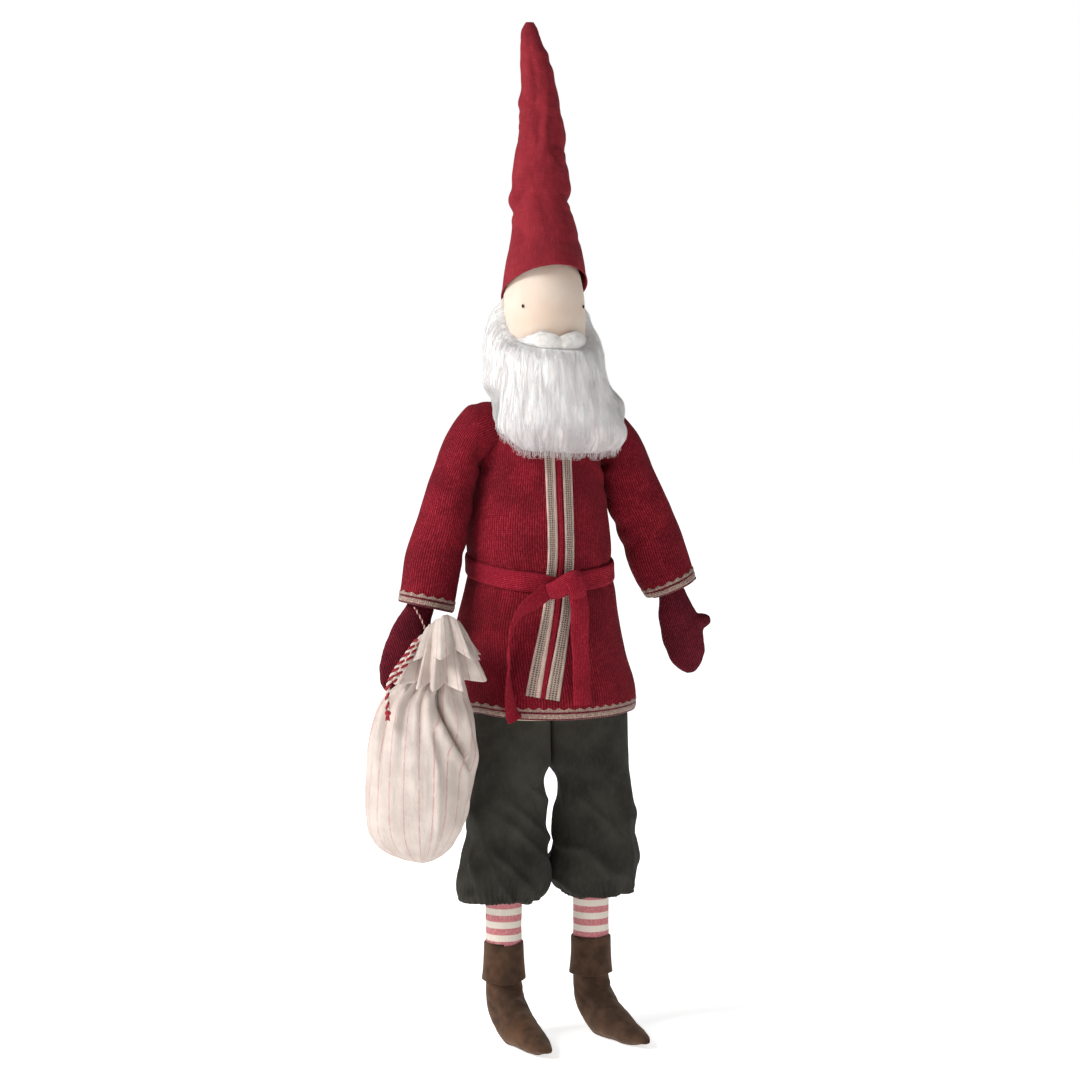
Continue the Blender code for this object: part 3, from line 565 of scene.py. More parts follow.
def face_cotton(name, colour, warm):
    """Fine cotton jersey, a little warmer in places."""
    f = Finish(name, 0.8, 0.15, subsurface=0.12)
    rib, loop = f.ramp(f.across, 0.8), f.wave(f.along, 0.7)
    height = f.times(rib, loop)
    ground = f.mix(f.step(f.noise(30, 3), 0.3, 0.75), colour, warm)
    # painted shade: the low gaps of the stitches, where the bump is lowest, are turned a little towards the darker
    # warm tone
    f.colour(f.mix(f.times(f.step(height, 0.3, 0.0), 0.10), ground, warm))
    return f.bumps((height, 0.10), (f.noise(3, 3), 0.12))


def wool(name, colour, shade, subsurface=0.35):
    """Combed wool; its lower end is painted darker and warmer, a painted shade and painted show-through of the red
    cloth under the thin wool.
    """
    f = Finish(name, 0.95, 0.6, subsurface=subsurface)
    clump = f.noise(5, 4, (1, 1, 3.5))
    fine = f.noise(0.9, 3, (1, 1, 6))
    # painted shade: where the clump bump is low, between the clumps, the colour is mixed towards the shade colour
    ground = f.mix(f.times(f.step(clump, 0.62, 0.36), 0.45), colour, shade)
    # painted shade and show-through: below the chin, with a noisy edge, the colour is darkened towards a dull
    # pinkish grey
    place = f.tree.nodes.new("ShaderNodeSeparateXYZ")
    f.put(place.inputs[0], f.object)
    low = f.plus(place.outputs[2], f.times(f.noise(9, 3), 24 * MM))
    thin = f.step(low, 0.004, -0.030)
    f.colour(f.mix(f.times(thin, 0.55), ground, (0.50, 0.40, 0.40)))
    return f.bumps((clump, 1.2), (fine, 0.35))


def felt(name, colour, shade):
    """Felted wool or wadding."""
    f = Finish(name, 0.95, 0.5, subsurface=0.3)
    fine = f.noise(1.0, 4)
    f.colour(f.mix(f.step(f.noise(6, 3), 0.35, 0.7), shade, colour))
    return f.bumps((fine, 0.4), (f.noise(4, 3), 0.8))


def sack_cotton(name, colour, shade, stripe):
    """Plain weave with thin broken stripes along the cloth."""
    f = Finish(name, 0.88, 0.05)
    warp, weft = f.wave(f.across, 0.8), f.wave(f.along, 0.8)
    over = f.math("ABSOLUTE", f.math("SUBTRACT", warp, weft))
    line = f.ramp(f.plus(f.across, STRIPE_SHIFT * MM), STRIPE_PITCH)
    broken = f.step(f.noise(1.6, 2, (0.6, 3.0, 1), f.cloth), 0.26, 0.56)
    mark = f.times(f.step(line, 1 - STRIPE_SHARE, 1 - 0.45 * STRIPE_SHARE), broken)
    ground = f.mix(f.step(f.noise(18, 4), 0.3, 0.7), shade, colour)
    f.colour(f.mix(f.times(mark, 0.58), ground, stripe))
    creases = f.noise(4.5, 4, (0.8, 0.8, 5))
    return f.bumps((over, 0.10), (f.noise(5, 4), 0.5), (creases, 0.8))


def hem_braid(name, beige, dark, edge):
    """Bands across the cloth from its edge up: red edge, beige, dark red, then beige."""
    f = Finish(name, 0.92, 0.25)
    stitch = f.times(f.ramp(f.across, 1.6), f.wave(f.along, 1.3))
    up = f.times(f.along, 1 / MM)
    wobble = f.times(f.math("SUBTRACT", f.noise(1.6, 1, vector=f.cloth), 0.5), 0.7)
    up = f.plus(up, wobble)
    red = f.mix(f.step(f.noise(1.2, 2), 0.4, 0.7), dark, edge)
    pale = f.mix(f.step(f.noise(1.4, 2), 0.35, 0.7), (0.34, 0.22, 0.18), beige)
    row = red
    for edge_up, colour in zip(HEM_ROWS, (pale, red, pale)):
        row = f.mix(f.step(up, edge_up - 0.15, edge_up + 0.15), row, colour)
    # painted shade: where the stitch's bump is lowest, the colour is darkened towards dark
    f.colour(f.mix(f.times(f.step(stitch, 0.25, 0.0), 0.4), row, dark))
    return f.bumps((stitch, 0.5))


def placket_braid(name, beige, dark, pink, split):
    """A braid along the cloth, speckled as far across as split, with plain pale edges."""
    f = Finish(name, 0.92, 0.2)
    check = f.times(f.wave(f.across, BRAID_SPECK), f.wave(f.along, BRAID_SPECK))
    speck = f.step(f.plus(check, f.times(f.noise(1.1, 2), 0.8)), 0.56, 0.70)
    plait = f.wave(f.plus(f.across, f.along), 1.7)
    speckled = f.mix(speck, f.mix(0.22, beige, dark), dark)
    plain = f.mix(f.times(plait, 0.35), pink, beige)
    inner = f.times(f.step(f.across, 0.8 * MM, 1.1 * MM),
                   f.step(f.across, split * MM, (split - 0.3) * MM))
    f.colour(f.mix(inner, plain, speckled))
    return f.bumps((plait, 0.35), (check, 0.3))


def plain_thread(name, colour, shade, roughness=0.85):
    f = Finish(name, roughness, 0.2)
    f.colour(f.mix(f.step(f.noise(0.8, 3), 0.35, 0.7), shade, colour))
    return f.bumps((f.noise(0.5, 3), 0.15))


CRIMSON = (0.018, 0.0008, 0.002), (0.235, 0.0075, 0.018), (0.36, 0.023, 0.040)
# how each is made, its colours, then its sizes in millimetres or its roughness
RECIPES = {
    "red_linen": (woven, (0.09, 0.005, 0.009), (0.264, 0.0185, 0.029), (0.37, 0.047, 0.062), 0.7),
    "crimson_knit": (knit, *CRIMSON, 1.75, 1.5),
    "belt_knit": (knit, (0.09, 0.002, 0.007), (0.36, 0.012, 0.030), (0.48, 0.033, 0.058), 1.3, 1.1),
    "maroon_knit": (knit, (0.022, 0.002, 0.004), (0.145, 0.009, 0.020), (0.21, 0.021, 0.036), 1.5, 1.3),
    "beige_braid": (hem_braid, (0.56, 0.42, 0.34), (0.06, 0.003, 0.008), (0.26, 0.012, 0.028)),
    "placket_right": (placket_braid, (0.55, 0.42, 0.35), (0.10, 0.07, 0.055), (0.66, 0.47, 0.40), 5.15),
    "placket_left": (placket_braid, (0.55, 0.42, 0.35), (0.10, 0.07, 0.055), (0.60, 0.47, 0.40), 6.2),
    "face_cotton": (face_cotton, (0.755, 0.632, 0.54), (0.70, 0.548, 0.435)),
    "eye_thread": (plain_thread, (0.03, 0.02, 0.018), (0.01, 0.008, 0.008), 0.5),
    "white_wool": (wool, (0.90, 0.885, 0.875), (0.76, 0.70, 0.69)),
    "wool_fibre": (wool, (0.95, 0.94, 0.93), (0.88, 0.84, 0.83), 0.0),
    "wool_felt": (felt, (0.93, 0.90, 0.865), (0.88, 0.83, 0.77)),
    "body_linen": (woven, (0.5, 0.4, 0.3), (0.72, 0.62, 0.50), (0.8, 0.72, 0.6), 0.5),
    "stuffing": (felt, (0.85, 0.84, 0.80), (0.75, 0.74, 0.70)),
    "olive_cotton": (brushed_twill, (0.026, 0.0245, 0.020), (0.056, 0.053, 0.043), (0.095, 0.090, 0.075)),
    "elastic": (plain_thread, (0.05, 0.05, 0.042), (0.02, 0.02, 0.016)),
    "striped_jersey": (striped_jersey, (0.60, 0.175, 0.20), (0.84, 0.76, 0.66), 4.75),
    "brown_suede": (suede, (0.047, 0.026, 0.016), (0.090, 0.048, 0.030), (0.140, 0.066, 0.033)),
    "sack_cotton": (sack_cotton, (0.70, 0.61, 0.55), (0.60, 0.51, 0.46), (0.52, 0.22, 0.23)),
    "cord_white": (plain_thread, (0.82, 0.74, 0.68), (0.60, 0.48, 0.42)),
    "cord_red": (plain_thread, (0.46, 0.035, 0.05), (0.22, 0.012, 0.02)),
    "red_yarn": (plain_thread, (0.50, 0.04, 0.06), (0.26, 0.012, 0.02)),
}
finishes = {name: make(name, *values) for name, (make, *values) in RECIPES.items()}


# ================================ camera, light and floor =====================================
WORLD_LIGHT = 0.165                        # of the white that the camera sees
FLOOR_RADIUS = 14.0                        # metres
FLOOR_FADE = (0.05, 0.9)                   # metres from the doll between which it turns white
FLOOR_GLOW = 0.7                           # of its own light beside the doll
FLOOR_GAP = 0.0004                         # metres below the soles
# name, azimuth and height in degrees, distance and size in metres, power in watts
LAMPS = (("key", -80, 33, 1.9, 0.8, 34), ("fill", -5, 15, 2.4, 1.4, 2.6), ("rim", 140, 35, 2.2, 1.2, 6))


def from_angles(azimuth, height, distance):
    """A point that far from the target, azimuth 0 being in front of the doll."""
    return CAMERA_TARGET + distance * Vector((
        math.sin(azimuth) * math.cos(height), -math.cos(azimuth) * math.cos(height), math.sin(height)))


def make_camera():
    """The picture's own camera."""
    camera = bpy.data.objects.new("camera", bpy.data.cameras.new("camera"))
    bpy.context.scene.collection.objects.link(camera)
    camera.data.lens = CAMERA_LENS
    camera.location = from_angles(CAMERA_AZIMUTH, CAMERA_HEIGHT, CAMERA_DISTANCE)
    camera.rotation_euler = (CAMERA_TARGET - camera.location).to_track_quat("-Z", "Y").to_euler()
    bpy.context.scene.camera = camera


def make_light(name, azimuth, height, distance, size, power):
    """A square lamp turned to the doll."""
    light = bpy.data.lights.new(name, "AREA")
    light.size = size
    light.energy = power
    lamp = bpy.data.objects.new(name, light)
    bpy.context.scene.collection.objects.link(lamp)
    lamp.location = from_angles(math.radians(azimuth), math.radians(height), distance)
    lamp.rotation_euler = (CAMERA_TARGET - lamp.location).to_track_quat("-Z", "Y").to_euler()


def make_world():
    """White where it is seen, and dimmer as a light, so that the lamps shape the doll."""
    world = bpy.data.worlds.new("studio")
    bpy.context.scene.world = world
    world.use_nodes = True
    tree = world.node_tree
    background = tree.nodes["Background"]
    background.inputs["Color"].default_value = (1, 1, 1, 1)
    path = tree.nodes.new("ShaderNodeLightPath")
    strength = tree.nodes.new("ShaderNodeMix")
    strength.inputs[2].default_value = WORLD_LIGHT
    strength.inputs[3].default_value = 1.0
    tree.links.new(path.outputs["Is Camera Ray"], strength.inputs[0])
    tree.links.new(strength.outputs[0], background.inputs["Strength"])


def make_floor():
    """A pale floor that fades into the white far from the doll."""
    bm = bmesh.new()
    bmesh.ops.create_circle(bm, cap_ends=True, segments=96, radius=FLOOR_RADIUS)
    f = Finish("floor", 0.9)
    f.colour((0.93, 0.925, 0.92, 1))
    length = f.tree.nodes.new("ShaderNodeVectorMath")
    length.operation = "LENGTH"
    f.put(length.inputs[0], f.object)
    f.shader.inputs["Emission Color"].default_value = (1, 1, 1, 1)
    fade = f.step(length.outputs["Value"], *FLOOR_FADE)
    f.put(f.shader.inputs["Emission Strength"], f.math("MULTIPLY_ADD", fade, 1 - FLOOR_GLOW, FLOOR_GLOW))
    floor = new_object("floor", baked("floor", bm), f.material)
    floor.location.z = box_mm("boot_sole_left")[0][2] * MM - FLOOR_GAP


bpy.context.scene.view_settings.view_transform = "Standard"
make_camera()
make_world()
for lamp in LAMPS:
    make_light(*lamp)
make_floor()


# ================================ tunic =======================================================
HEM_DROP = 3.0                             # how much lower the hem hangs in front than behind
WAIST = -121.0
WAIST_SLOPE = 9.0                          # the belt falls this much to the front, rises behind
ARMPIT = 42.0                              # below the neck, where the sleeves leave the body
PLACKET_SWING = -15.8                      # how far the front edge slants sideways below the belt


def bearing(grid):
    """Each point's direction seen from above: 0 in front, positive to the doll's left."""
    return np.arctan2(grid[..., 0], -grid[..., 1])


def make_tunic():
    """The tunic's body, with folds, a drawn-in waist and a skirt that stands out."""
    low, high = box_mm("tunic_body")
    top = [high[2] - drop for drop in (0.3, 1.2, 2.2, 3.2, 4.4, 6)]
    heights = np.concatenate((top, np.linspace(high[2] - 8, low[2] + 0.2, 112)))
    lean = ease(WAIST, low[2], heights)
    grid = wrapped(["tunic_body"], *level_rings(heights, 7 * lean, -7 * lean), 192,
                   smooth=(1.6, 5.0), least=15)
    z = grid[..., 2]
    turn = bearing(grid)
    belt = WAIST - WAIST_SLOPE * np.cos(turn)
    gather = np.cos(23 * turn + 3 * grain(grid * (1, 1, 0), 30, 3)) * (0.6 + grain(grid, 22, 4))
    amount = -2.2 * hump(0, 8, z - belt) + 1.0 * gather * hump(0, 20, z - belt)
    skirt = ease(belt - 6, belt - 70, z)
    flow = grain(grid * (1, 1, 0.18), 34, 1)
    amount += skirt * (2.6 * flow - 0.4) + 1.1 * grain(grid * (1, 1, 0.5), 45, 2)
    for side in (-1, 1):
        pit = np.hypot(grid[..., 0] - side * 45, z + ARMPIT)
        crease = np.sin((z + ARMPIT) * 0.42 + side * grid[..., 0] * 0.30)
        amount += 1.1 * crease * hump(0, 30, pit) * hump(math.radians(70), 0.5, np.abs(turn))
    amount += 0.25 * grain(grid, 6, 5)
    amount += (2.0 * hump(low[2] + 17, 13, z) * hump(math.radians(85), 0.9, turn)
               - 1.2 * ease(low[2] + 9, low[2], z))
    amount += 2.2 * hump(-92, 28, z) * hump(math.radians(-95), 0.6, turn)
    # the skirt stands out behind its right and at its left
    amount += 12.0 * ease(-118, -172, z) * hump(math.radians(-112), 0.55, turn)
    amount += 3.5 * ease(-135, -215, z) * hump(math.radians(76), 0.5, turn)
    grid = pushed(grid, blurred(amount, 1.0, 1.5))
    foot = ease(low[2] + 45, low[2], grid[..., 2])
    grid[..., 2] -= foot * HEM_DROP * np.cos(turn)
    return dressed("tunic", grid, "crimson_knit", "torso", "tunic_body", thick=CLOTH_THICK), grid


CLOTH_THICK = 1.3                          # of the tunic's knit
TAPE_EDGE = 0.05                           # a braid's edges stand this far off the cloth


def strip_on(name, tree, starts, ways, finish, crown, uv):
    """A strip of cloth laid on a surface, its two edges down and its middle raised by crown."""
    lift = np.broadcast_to(crown, starts.shape[:-1])
    grid = laid_on(tree, starts, ways, lift)
    return sheet_piece(name, grid, finish, closed=False, uv=uv)


def tape_lift(count, crown):
    """How far each row of a tape stands off the cloth: its edges are turned down."""
    t = np.linspace(-1, 1, count)
    return TAPE_EDGE + (crown - TAPE_EDGE) * (1 - t ** 6) ** 0.5


def placket_middle(z):
    """Sideways place of the front edge: straight down to the belt, then slanting to the right."""
    foot = box_mm("placket_trim_left")[0][2]
    return along_curve([8, -60, WAIST, foot], [0.6, 0.2, 0.0, PLACKET_SWING], z)


def make_placket(tree):
    """Two braids down the front and the fold of cloth between them."""
    low, high = box_mm("placket_trim_left")
    z = np.linspace(high[2] + 6, low[2], 150)
    slope = np.gradient(placket_middle(z), z)
    for side, sign in (("left", 1), ("right", -1)):
        span = np.linspace(-3.7, 3.7, 13)
        widen = 1 + 0.28 * ease(WAIST - 20, low[2], z)
        x = placket_middle(z)[:, None] + sign * 6.4 + span[None] * widen[:, None]
        zz = z[:, None] - slope[:, None] * (x - placket_middle(z)[:, None])
        starts = np.stack((x, np.full_like(x, -90.0), zz), axis=2)
        across = np.broadcast_to((span - span[0])[None], x.shape)   # from the doll's right
        uv = np.stack((across, np.broadcast_to(z[:, None], x.shape)), axis=2)
        strip = strip_on(f"placket_{side}", tree, starts, np.broadcast_to(BACK, starts.shape),
                         finishes[f"placket_{side}"], tape_lift(13, 0.9)[None], uv)
        belongs(strip, "torso", "beige_braid", f"placket_trim_{side}")
    offsets = np.linspace(-1.7, 1.7, 9)
    x = placket_middle(z)[:, None] + offsets[None]
    starts = np.stack((x, np.full_like(x, -90.0), np.broadcast_to(z[:, None], x.shape)), axis=2)
    uv = np.stack(np.broadcast_arrays(offsets[None], z[:, None]), axis=2)
    fold = strip_on("placket_fold", tree, starts, np.broadcast_to(BACK, starts.shape),
                    finishes["belt_knit"], tape_lift(9, 0.8)[None], uv)
    belongs(fold, "torso", "crimson_knit")


def hem_band(name, tree, centres, across, along, reach, up_way, cols, body, node, repeats):
    """A knitted border round a hem: its lower edge lies on the centres' plane and its upper one
    rises in small points; up_way is the way it rises."""
    turn = TAU * np.arange(cols) / cols
    way = across * np.cos(turn)[:, None] + along * np.sin(turn)[:, None]
    uneven = repeats * (np.arange(cols) / cols + 0.0016 * np.sin(5 * turn) + 0.001 * np.sin(11 * turn))
    points = 2.1 * (1 - np.abs(2 * (uneven % 1) - 1)) * (0.85 + 0.15 * np.sin(7 * turn + 1))
    rows = np.array((-0.6, -0.2, 0.4, HEM_ROWS[0], 1.9, 3.0, HEM_ROWS[1], 4.8, HEM_ROWS[2], 6.0, 6.7))
    lift = np.array((-0.9, 0.35, 0.6, 0.65, 0.75, 0.75, 0.5, 0.35, 0.5, 0.65, 0.05))
    rise = np.repeat(rows[:, None], cols, axis=1)
    rise[-2:] += points * np.array((0.75, 1.0))[:, None]
    cast = np.maximum(rise, 0.4)
    starts = centres + up_way * cast[..., None] + way[None] * reach
    grid = laid_on(tree, starts, np.broadcast_to(-way[None], starts.shape),
                   np.broadcast_to(lift[:, None], rise.shape))
    grid = (grid + up_way * (rise - cast)[..., None])[::-1]
    lengths = run_lengths(grid)[..., 0]
    rise = np.concatenate((rise[::-1], rise[::-1][:, :1]), axis=1)
    dressed(name, grid, "beige_braid", body, node, uv=np.stack((lengths, rise), axis=2))


def make_hem(tree, tunic_grid):
    """The border round the tunic's foot."""
    cols = 384
    ring = resampled(tunic_grid[-1], cols)
    middle = ring.mean(axis=0)
    centres = np.stack((np.full(cols, middle[0]), np.full(cols, middle[1]), ring[:, 2] + 0.3), axis=1)
    hem_band("hem_band", tree, centres, BACK, np.array((-1.0, 0, 0)), 110, UP, cols, "torso",
             "hem_trim", 42)


def make_collar():
    """A low standing collar, under the beard."""
    low, high = box_mm("tunic_collar")
    middle, half = (low + high) / 2, (high - low) / 2
    turn = TAU * np.arange(72) / 72
    rows = ((half[2] * -1.0, 1.10), (half[2] * 0.2, 1.0), (half[2] * 0.8, 0.97), (half[2], 0.93),
            (half[2] * 0.8, 0.90), (half[2] * -0.6, 0.90))
    grid = np.array([[(middle[0] + half[0] * r * -math.sin(t), middle[1] + half[1] * r * math.cos(t),
                       middle[2] + h) for t in turn] for h, r in rows])
    dressed("collar", grid, "crimson_knit", "torso", "tunic_collar")


# ================================ belt ========================================================
BELT_HALF = 7.2                            # half the band's width
BELT_LIFT = 2.4                            # how far the band's face stands off the tunic
TAIL_THICK = 1.9


def flat_band(path, facing, half, thick, bow=0.0):
    """Rings of a flat band with rounded edges along a path; facing is its outward way."""
    path, facing = np.asarray(path, float), np.asarray(facing, float)
    way = unit(np.gradient(path, axis=0))
    side = unit(np.cross(way, facing))
    out = np.cross(side, way)
    half = np.broadcast_to(half, len(path))
    thick = np.broadcast_to(thick, len(path))
    t = TAU * np.arange(20) / 20
    wide, high = np.cos(t), np.sin(t)
    wide = np.sign(wide) * np.abs(wide) ** 0.45
    high = np.sign(high) * np.abs(high) ** 0.7
    return (path[:, None] + side[:, None] * (half[:, None] * wide)[..., None]
            + out[:, None] * (thick[:, None] / 2 * high - bow * wide ** 2)[..., None])


def make_belt(tree):
    """The belt's band, laid round the tunic's waist."""
    count = 220
    turn = TAU * np.arange(count) / count
    way = np.stack((np.sin(turn), -np.cos(turn), np.zeros(count)), axis=1)
    height = WAIST + 0.8 - WAIST_SLOPE * np.cos(turn) - 2.0 * hump(0, 0.35, np.minimum(turn, TAU - turn))
    height += 0.48 * np.sin(3 * turn + 1)
    rows = np.linspace(-1, 1, 15)
    bunch = 1 - 0.25 * hump(0, 0.22, np.minimum(turn, TAU - turn))
    z = height[None] + BELT_HALF * rows[:, None] * bunch[None]
    starts = np.stack((np.broadcast_to(way[None, :, 0] * 110, z.shape),
                       np.broadcast_to(way[None, :, 1] * 110, z.shape), z), axis=2)
    lift = BELT_LIFT - 1.3 * np.abs(rows) ** 6
    skin = laid_on(tree, starts, np.broadcast_to(-way[None], starts.shape), 0.0)
    reach = np.linalg.norm(skin[..., :2], axis=2)
    reach = blurred(reach, 2.0, 5.0).max(axis=0)[None] * 0.6 + blurred(reach, 1.0, 4.0) * 0.4
    ripple = 0.25 * grain(skin, 16, 8)
    outer = reach + lift[:, None] + ripple
    face = np.stack((way[None, :, 0] * outer, way[None, :, 1] * outer, z), axis=2)
    inner = reach + 0.1
    back = np.stack((way[None, :, 0] * inner, way[None, :, 1] * inner, z), axis=2)
    grid = np.concatenate((back[:1], face, back[-1:]))[::-1]
    dressed("belt_band", grid, "belt_knit", "torso", "belt", uv=run_lengths(grid)[..., ::-1])


def knot_fold(name, path, middle, widths, thick, bow, *nodes):
    """A fold of the belt over the knot; widths are (share of its length, half its width) pairs."""
    half = np.interp(np.linspace(0, 1, len(path)), *zip(*widths))
    grid = flat_band(path, unit(path - middle), half, thick, bow)
    dressed(name, grid, "belt_knit", "torso", *nodes, caps=(True, True), subdivide=1)


def make_knot():
    """Two folds of the belt, one over the other."""
    middle, front = middle_of("belt_knot"), box_mm("belt_knot")[0][1]
    x, z = middle[0], middle[2]
    wrap = joined([(x - 12, front + 8, z - 5), (x - 8, front + 3, z - 3.5), (x - 1, front - 0.5, z + 0.5),
                   (x + 6, front - 0.3, z + 3.0), (x + 11, front + 3, z + 2.5),
                   (x + 13, front + 8, z + 1)], 40)
    knot_fold("knot_wrap", wrap, (x, middle[1] + 6, z), ((0, 6), (0.35, 7.2), (0.6, 8.2), (1, 7.4)),
              3.4, 0.8, "belt_knot")
    over = joined([(x + 2, front + 8, z + 6.5), (x + 4, front + 1.5, z + 6), (x + 6.5, front - 1.6, z + 1.5),
                   (x + 8, front - 1.2, z - 4), (x + 8.5, front + 0.6, z - 9)], 36)
    knot_fold("knot_turn", over, (x + 4, middle[1] + 7, z - 2), ((0, 6.0), (0.4, 7.6), (1, 7.0)), 3.0, 1.0)


def tail(name, node, points, facings, widths):
    """A flat end of the belt along a route, facing and as wide as told at even places on it."""
    count = 90
    path = joined(points, count)
    facing = joined(facings, count)
    half = np.interp(np.linspace(0, 1, count), np.linspace(0, 1, len(widths)), widths) / 2
    ripple = 0.5 * grain(path, 14, 6)
    path = path + unit(facing) * ripple[:, None]
    grid = flat_band(path, unit(facing), half, TAIL_THICK, 0.5)
    piece = dressed(name, grid, "belt_knit", "torso", node, caps=(True, True), subdivide=1)


def make_tails():
    """The left tail hangs flat in front; the right one hangs edge on and turns at its foot."""
    low, high = box_mm("belt_tail_left")
    knot = middle_of("belt_knot")
    x = (low[0] + high[0]) / 2
    tail("belt_end_left", "belt_tail_left",
         [(knot[0] + 8, low[1] + 4, high[2] + 4), (x, low[1] + 3.5, high[2] - 6),
          (x, low[1] + 3, high[2] - 28),
          (x + 1, low[1] + 1.5, low[2] + 22), (high[0] - 8, low[1], low[2])],
         [(0.1, -1, 0.2), (0.15, -1, 0), (0.25, -1, 0), (0.15, -1, 0), (0.3, -1, 0)],
         (14.5, 14.8, 14.0, 14.6, 15.0))
    low, high = box_mm("belt_tail_right")
    y = (low[1] + high[1]) / 2
    tail("belt_end_right", "belt_tail_right",
         [(high[0] + 1, y + 1, high[2] + 3), (high[0] - 9, y - 1, high[2] - 4),
          (low[0] + 12.5, y + 2, high[2] - 14), (low[0] + 6.5, y + 4.5, high[2] - 32),
          (low[0] + 5.5, y + 5, low[2] + 34), (low[0] + 6.5, y + 3, low[2] + 9),
          (low[0] + 9.5, y + 1.5, low[2] + 0.5)],
         [(0.3, -1, 0.3), (0.6, -0.9, 0.2), (1, -0.7, 0), (1, -0.25, 0), (1, -0.2, 0), (0.95, -0.45, 0),
          (0.45, -1, 0)],
         (12, 12.5, 13.5, 14.0, 14.0, 14.0, 13.5))


# ================================ sleeves and mittens =========================================
SLEEVE_LONGER = 3.6                        # past the frame's own cuff


def sleeve_guide(side, sign, count):
    """Ring centres and directions down a sleeve: the first rings stand across the shoulder."""
    shoulder = np.array(joint_place(f"shoulder_{side}"))
    cuff = middle_of(f"cuff_trim_{side}")
    start = shoulder + (-sign * 14.0, 0, 0)
    bend = shoulder + (sign * 9.5, 0, -6.0)
    cuff = cuff + unit(cuff - bend) * SLEEVE_LONGER
    path = joined([start, shoulder, bend, bend * 0.62 + cuff * 0.38, cuff], count)
    tilt = ease(0.08, 0.42, np.linspace(0, 1, count))
    arm = unit(cuff - bend)
    out = unit(np.cross(arm, BACK)) * sign
    out = out if out[0] * sign > 0 else -out
    across = unit((1 - tilt)[:, None] * UP + tilt[:, None] * out)
    return path, across


def joint_place(name):
    """Where a joint of the frame is, in millimetres."""
    found = next(j for j in frame["joints"] if j["name"] == name)
    return [v / MM for v in found["pos_m"]]


def make_sleeve(side, sign):
    """A sleeve with creases inside the elbow; returns its rings."""
    count = 84
    path, across = sleeve_guide(side, sign, count)
    along = np.tile(BACK * sign, (count, 1))
    grid = wrapped([f"sleeve_{side}"], path, across, along, 120, smooth=(3.0, 4.0), reach=70, least=6)
    share = np.linspace(0, 1, count)[:, None]
    wave = grain(grid * (1, 1, 0.55), 20, 11 if sign > 0 else 12)
    amount = 1.5 * wave * ease(0.15, 0.4, share) + 0.3 * grain(grid, 7, 13)
    elbow = 0.58
    turn = TAU * np.arange(120)[None] / 120
    inner = hump(math.pi, 1.0, turn)
    for k, (at, depth) in enumerate(((elbow - 0.12, 1.5), (elbow - 0.02, 2.0), (elbow + 0.09, 1.6))):
        slant = 0.05 * np.sin(turn + k)
        amount = amount - depth * hump(at, 0.028, share + slant) * inner
    amount += 1.2 * hump(0.32, 0.05, share + 0.03 * np.cos(turn * 2)) * hump(math.pi, 1.2, turn)
    # the sleeves lie against the tunic's sides
    fuller, middle, half = (2.6, -88, 34) if sign < 0 else (3.0, -64, 22)
    amount = amount + fuller * hump(middle, half, grid[..., 2]) * inner
    grid = pushed(grid, blurred(amount, 1.0, 1.5))
    dressed(f"sleeve_knit_{side}", grid, "crimson_knit", f"arm_{side}", f"sleeve_{side}", thick=CLOTH_THICK)
    return grid


def make_cuff(side, grid):
    """The border round a sleeve's end."""
    tree = BVHTree.FromPolygons([Vector(p) for p in grid.reshape(-1, 3)], ring_faces(*grid.shape[:2]))
    cols = 150
    ring = grid[-1]
    middle = resampled(ring, cols).mean(axis=0)
    up_way = unit(grid[-8].mean(axis=0) - middle)
    across = unit(ring[0] - middle)
    across = unit(across - up_way * (across @ up_way))
    along = np.cross(up_way, across)
    centres = np.tile(middle, (cols, 1)) + up_way * 0.3
    hem_band(f"cuff_{side}", tree, centres, across, along, 45, up_way, cols, f"arm_{side}",
             f"cuff_trim_{side}", 15)


def remeshed(name, node, voxel, finish, smooth=6):
    """A CAD solid as an even, rounded mesh to work on."""
    mesh = bpy.data.meshes.new_from_object(frame["nodes"][node])
    piece = new_object(name, mesh, finish)
    remesh = piece.modifiers.new("even", "REMESH")
    remesh.mode = "VOXEL"
    remesh.voxel_size = voxel * MM
    settled(piece)
    relax = piece.modifiers.new("round", "SMOOTH")
    relax.factor = 0.5
    relax.iterations = smooth
    settled(piece)
    return piece


def points_of(piece):
    """A piece's points, in millimetres."""
    flat = np.empty(len(piece.data.vertices) * 3, np.float32)
    piece.data.vertices.foreach_get("co", flat)
    return flat.reshape(-1, 3).astype(float) / MM


def normals_of(piece):
    """The outward way at each of a piece's points."""
    flat = np.empty(len(piece.data.vertices) * 3, np.float32)
    piece.data.vertex_normals.foreach_get("vector", flat)
    return flat.reshape(-1, 3).astype(float)


def set_points(piece, points):
    """Moves a piece's points to those places, in millimetres."""
    piece.data.vertices.foreach_set("co", (points * MM).astype(np.float32).ravel())
    piece.data.update()


def flat_uv(piece, right, up):
    """Cloth coordinates laid on from one side."""
    mesh = piece.data
    layer = mesh.uv_layers.get(UV) or mesh.uv_layers.new(name=UV)
    points = points_of(piece) * MM
    uv = np.stack((points @ np.asarray(right), points @ np.asarray(up)), axis=1)
    corner = np.empty(len(mesh.loops), np.int32)
    mesh.loops.foreach_get("vertex_index", corner)
    layer.data.foreach_set("uv", uv[corner].astype(np.float32).ravel())


